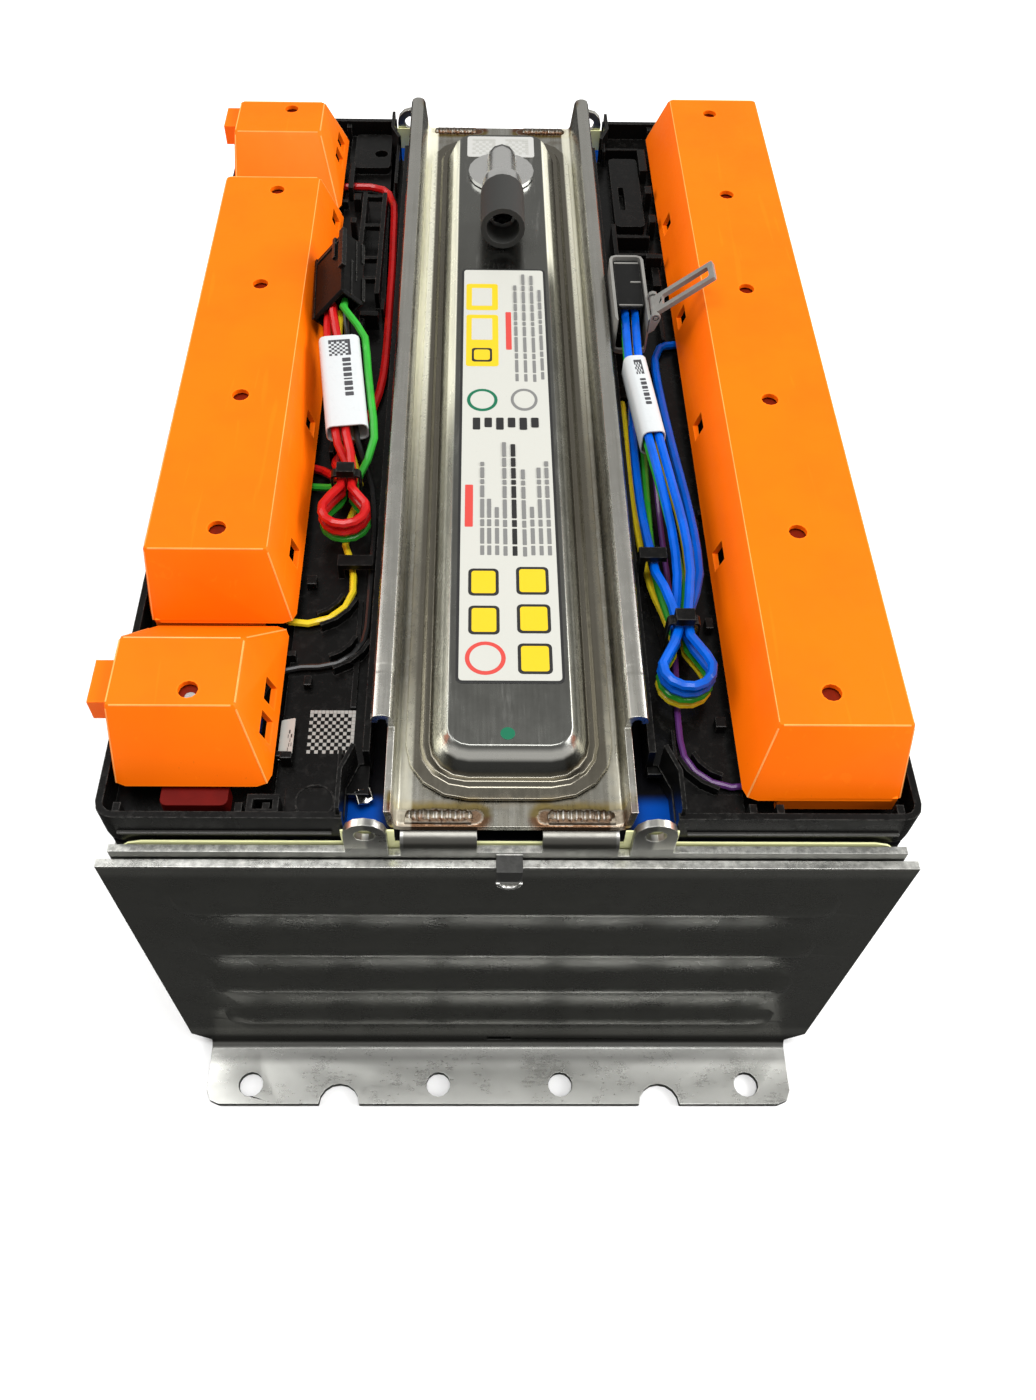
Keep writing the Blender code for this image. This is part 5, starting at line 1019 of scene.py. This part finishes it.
palePrint = paperLook("pale_print", (0.36, 0.36, 0.335), 0.4)
deckSettings = {"grid": (-45.0, -117.9, -34.6, -106.2, 12), "height": (0.1216, 0.12165)}
printOn("deck_print", lattice(*deckSettings["grid"]), *deckSettings["height"], palePrint, "white_sleeve")
sleevePrints = {
    "left": {
        "turn": (0, 8, 7.2),
        "grid": (-2.9, 8.2, 2.9, 13.8, 8, 0.96),
        "dashes": (0.4, -5.8, 2.6, 7.4),
        "steps": (1.3, 1.1, 1.5, 0.5, 1.2, 1.4, 0.9),
        "corner": 0.15,
        "height": (0.00311, 0.00316),
    },
    "right": {
        "turn": (0, 0, 5.3),
        "grid": (-0.9, 7.2, 1.2, 13.0, 6, 0.96),
        "dashes": (-0.4, -4.8, 1.1, 6.4),
        "steps": (1.1, 1.0, 1.3, 0.4, 1.1, 1.2, 0.8),
        "corner": 0.12,
        "height": (0.00401, 0.00406),
    },
}


def turned(node, roll, pitch, yaw):
    # a frame at the node's middle
    low, high = box(node)
    turn = Matrix.Rotation(math.radians(yaw), 4, "Z") @ Matrix.Rotation(math.radians(pitch), 4, "X")
    return Matrix.Translation((low + high) / 2) @ turn @ Matrix.Rotation(math.radians(roll), 4, "Y")


def buildSleevePrints(prints):
    look = paperLook("sleeve_ink", (0.045, 0.045, 0.05), 0.4)
    for side, settings in prints.items():
        dashes = dashLine(*settings["dashes"], settings["steps"])
        marks = lattice(*settings["grid"]) + [roundedOutline(*dash, settings["corner"], 1) for dash in dashes]
        turn = turned(side + "_label_sleeve", *settings["turn"])
        printOn(side + "_sleeve_print", marks, *settings["height"], look, "white_sleeve", turn)


buildSleevePrints(sleevePrints)

# A pale plate on the pan behind the elbow, and a small label tipped towards the left tray's outer side
plateSettings = {
    "colour": (0.42, 0.42, 0.40),
    "place": (0, 0, panTop),
    "tip": 0,
    "outline": (-10.9, 105.0, 10.9, 117.2, 1.0, 4),
    "grids": [(-9.2, 106.6, -1.6, 115.8, 7, 0.9), (1.6, 106.6, 9.2, 115.8, 7, 0.9)],
    "every": 1,
    "heights": (0.00002, 0.00022, 0.00026),
}
sideSettings = {
    "place": (-0.0494, -0.1140, 0.1231),
    "tip": -18,
    "outline": (-1.7, -6.4, 1.7, 4.2, 0.3, 2),
    "grids": [(0.3, -5.6, 1.4, 1.4, 6, 0.8)],
    "every": 2,
    "heights": (0, 0.00015, 0.0002),
}


def buildPlate(name, settings, look, ink, slot):
    base, top, high = settings["heights"]
    turn = Matrix.Translation(settings["place"]) @ Matrix.Rotation(math.radians(settings["tip"]), 4, "Y")
    printOn(name, [roundedOutline(*settings["outline"])], base, top, look, slot, turn)
    squares = [square for grid in settings["grids"] for square in lattice(*grid)[::settings["every"]]]
    printOn(name + "_marks", squares, top, high, ink, slot, turn)


plateLook = paperLook("plate_pale", plateSettings["colour"])
buildPlate("pan_plate", plateSettings, plateLook, palePrint, "bright_steel")
buildPlate("side_label", sideSettings, inks["white"], inks["black"], "white_sleeve")

# A crumpled lug beside the channel's front end, and round lips on the tongues of the inner end plates
lugSettings = {"place": (-0.0320, -0.1278, 0.1195), "tip": 38, "twist": 24, "edge": 0.15}
lugForms = [
    (-1.9, -1.6, -0.25, 1.5, 1.4, 0.25),
    (1.1, -1.3, -0.2, 1.6, 1.7, 1.6),
    (-1.7, 1.1, -0.1, 1.2, 1.6, 1.3),
]
lipSettings = {"z": 112.35, "y": 144.75, "reach": 2.5, "tube": 0.48, "steps": 16, "sides": 8}


def buildLug(settings):
    turn = Matrix.Translation(settings["place"]) @ Matrix.Rotation(math.radians(settings["tip"]), 4, "Y")
    turn = turn @ Matrix.Rotation(math.radians(settings["twist"]), 4, "Z")
    blocks("folded_lug", lugForms, ventLook, settings["edge"], turn)


def buildLip(name, side, settings):
    # the lower half of a ring of round wire
    bm = bmesh.new()
    rings = []
    for k in range(settings["steps"] + 1):
        a = math.pi * (1 + k / settings["steps"])
        ring = []
        for j in range(settings["sides"]):
            b = 2 * math.pi * j / settings["sides"]
            reach = settings["reach"] + settings["tube"] * math.cos(b)
            y = side * (settings["y"] + settings["tube"] * math.sin(b))
            place = (reach * math.cos(a), y, settings["z"] + reach * math.sin(a))
            ring.append(bm.verts.new(Vector(place) * millimetre))
        rings.append(ring)
    joinRings(bm, rings)
    finishPiece(name, bm, ventLook, smooth=True)


buildLug(lugSettings)
buildLip("front_tongue_lip", -1, lipSettings)
buildLip("rear_tongue_lip", 1, lipSettings)

# Painted highlights along the covers' ridges, as slim light orange bars
ridgeSettings = {
    "low": 12,
    "high": 75,
    "level": 0.1418,
    "shortest": 0.004,
    "rise": 0.003,
    "long": 0.08,
    "radius": 0.00022,
    "slim": 0.00012,
    "sink": 0.00009,
    "sides": 5,
    "colour": (1.0, 0.36, 0.08),
}


def ridgeEdges(obj, settings):
    # outward bends near the top, and those that run down the corners
    bm = bmesh.new()
    bm.from_mesh(obj.data)
    bm.transform(obj.matrix_world)
    bmesh.ops.remove_doubles(bm, verts=bm.verts, dist=softSettings["weld"])
    bmesh.ops.dissolve_limit(bm, angle_limit=math.radians(1), verts=bm.verts, edges=bm.edges)
    found = []
    for edge in bm.edges:
        if len(edge.link_faces) != 2 or edge.calc_length() < settings["shortest"]:
            continue
        first, second = (face.normal for face in edge.link_faces)
        bend = math.degrees(edge.calc_face_angle_signed(0))
        outward = (first + second).normalized()
        start, end = (vert.co.copy() for vert in edge.verts)
        rim = min(start.z, end.z) > settings["level"]
        corner = abs(start.z - end.z) > settings["rise"] and abs(abs(outward.x) - abs(outward.y)) < 0.2
        if settings["low"] < bend < settings["high"] and outward.z > 0.2 and (rim or corner):
            found.append((start, end, outward))
    bm.free()
    return found


def buildRidgeHighlights(node, look, settings):
    # a slim light bar half sunk in each ridge: a painted highlight
    bm = bmesh.new()
    angles = [2 * math.pi * k / settings["sides"] for k in range(settings["sides"])]
    for start, end, outward in ridgeEdges(nodes[node], settings):
        side = (end - start).normalized().cross(outward)
        radius = settings["slim"] if (end - start).length > settings["long"] else settings["radius"]
        rings = []
        for point in (start, end):
            middle = point - outward * settings["sink"]
            spokes = [radius * (math.cos(a) * outward + math.sin(a) * side) for a in angles]
            rings.append([bm.verts.new(middle + spoke) for spoke in spokes])
        joinRings(bm, rings)
    finishPiece(node + "_ridges", bm, look)


ridgeHighlightLook = plainLook("ridge_highlight_orange", ridgeSettings["colour"], 0.42, edges=0)
for name in covers:
    buildRidgeHighlights(name, ridgeHighlightLook, ridgeSettings)

# Dark red floors in the covers' screw holes, orange in painted shade, and the one screw head that shows
holeSettings = {
    "x": 67.6,
    "rows": (-115, -69, -23, 23, 69, 115),
    "radius": 2.6,
    "height": (0.1399, 0.1402),
    "colour": (0.20, 0.014, 0.002),
    "screw": (-67.3, -115.8, 1.25),
    "screwHeight": 0.00012,
}


def buildHoleFloors(settings):
    # painted shade: the hole floors are the covers' orange darkened
    look = plainLook("hole_shade_red", settings["colour"], 0.5, shine=0.1)
    rows = settings["rows"]
    places = [(settings["x"], y) for y in rows] + [(-settings["x"], y) for y in rows[1:] + rows[:1]]
    outlines = [discOutline(x, y, settings["radius"], 20) for x, y in places]
    low, high = settings["height"]
    printOn("shaded_hole_floors", outlines, low, high, look, "orange_plastic")
    top = high + settings["screwHeight"]
    printOn("screw_gleam", [discOutline(*settings["screw"], 20)], high, top, ventLook, "bright_steel")


buildHoleFloors(holeSettings)

# Ribs and the locking tongue of the left connector, in its own turned frame
connectorTurn = turned("left_connector", -47, 0, 3)
connectorForms = [
    (5.6, -3.6, 3.3, 7.5, 13.4, 4.7),
    (6.5, -13.3, 0.6, 7, 2, 1.1),
    (6.5, -6, -0.9, 6.95, 12.6, -0.5),
    (6.5, -12.8, -3.6, 7.2, -3, -2.6),
    (6.5, 4, -3.4, 7.1, 12.8, -2.4),
    (-5.4, 10.4, 3.5, 4.8, 11.2, 4.1),
    (-6.6, -13.3, 3.6, -5.6, 13.3, 4),
    (2.2, 4.2, 3.5, 3.4, 13.3, 4.4),
]
blocks("connector_forms", connectorForms, blackPlastic, 0.15, connectorTurn)
rightForms = [
    (36.3, 31.6, 137.2, 39.3, 32.1, 137.6),
    (32.2, 40.6, 137.2, 39.2, 41.2, 137.5),
    (32.4, 21.2, 137.2, 39, 21.7, 137.5),
]
blocks("right_connector_marks", rightForms, greyLook, 0.1)

dotSettings = {"place": (-0.0005, -0.1192), "radius": 0.0016, "heights": (0.00002, 0.00012), "edge": 0.00005}


def buildDot(settings):
    # a green dot of paint on the pan
    dot = discOutline(*settings["place"], settings["radius"])
    low, high = (panTop + height for height in settings["heights"])
    plates("green_dot", [(dot, low, high)], inks["green"], settings["edge"])


buildDot(dotSettings)
print("small forms made")

# Floor and light

floorSettings = {
    "half": 6.0,
    "colour": (0.93, 0.93, 0.93),
    "cloud": (0.9, 0.9, 0.9),
    "mirrored": (0.05, 0.05, 0.048),
}


def buildFloor(settings):
    half = settings["half"]
    bm = bmesh.new()
    corners = ((-half, -half), (half, -half), (half, half), (-half, half))
    bm.faces.new([bm.verts.new((x, y, 0)) for x, y in corners])
    mesh = bpy.data.meshes.new("floor")
    bm.to_mesh(mesh)
    bm.free()
    look = Look("floor", {"Roughness": 0.9, "Specular IOR Level": 0})
    glossy = Value(look, look.node("ShaderNodeLightPath").outputs["Is Glossy Ray"])
    shade = look.mix(look.noise(3, 2, 0.5) * 0.02, settings["colour"], settings["cloud"])
    look.fix({"Base Color": look.mix(glossy, shade, settings["mirrored"])})
    mesh.materials.append(look.material)
    floor = addObject("floor", mesh)


buildFloor(floorSettings)

worldSettings = {"room": ((1.0, 0.99, 0.97), 0.45), "seen": ((1, 1, 1), 1.0)}


def buildWorld(settings):
    # soft light from all round, and plain white where the camera looks past the floor
    world = bpy.data.worlds.new("room")
    world.use_nodes = True
    tree = world.node_tree
    tree.nodes.clear()
    path = tree.nodes.new("ShaderNodeLightPath")
    mix = tree.nodes.new("ShaderNodeMixShader")
    out = tree.nodes.new("ShaderNodeOutputWorld")
    tree.links.new(path.outputs["Is Camera Ray"], mix.inputs["Fac"])
    for place, (colour, strength) in enumerate((settings["room"], settings["seen"]), 1):
        light = tree.nodes.new("ShaderNodeBackground")
        light.inputs["Color"].default_value = (*colour, 1)
        light.inputs["Strength"].default_value = strength
        tree.links.new(light.outputs[0], mix.inputs[place])
    tree.links.new(mix.outputs[0], out.inputs["Surface"])
    bpy.context.scene.world = world


buildWorld(worldSettings)

lampSettings = {
    "ceiling": {"place": (-0.05, -0.12, 1.30), "size": (1.1, 0.5), "power": 13.0},
    "left": {"place": (-1.00, 0.15, 0.80), "size": (1.2, 0.6), "power": 7.0},
    "right": {"place": (1.00, 0.05, 0.62), "size": (1.2, 0.5), "power": 15.0},
}
lampAim = Vector((0, 0, 0.08))


def buildLamps(lamps, aim):
    for name, lamp in lamps.items():
        data = bpy.data.lights.new(name, "AREA")
        data.shape = "RECTANGLE"
        data.size, data.size_y = lamp["size"]
        data.energy = lamp["power"]
        obj = addObject(name, data)
        obj.location = lamp["place"]
        obj.rotation_euler = (aim - Vector(lamp["place"])).to_track_quat("-Z", "Y").to_euler()


buildLamps(lampSettings, lampAim)
print("light made")
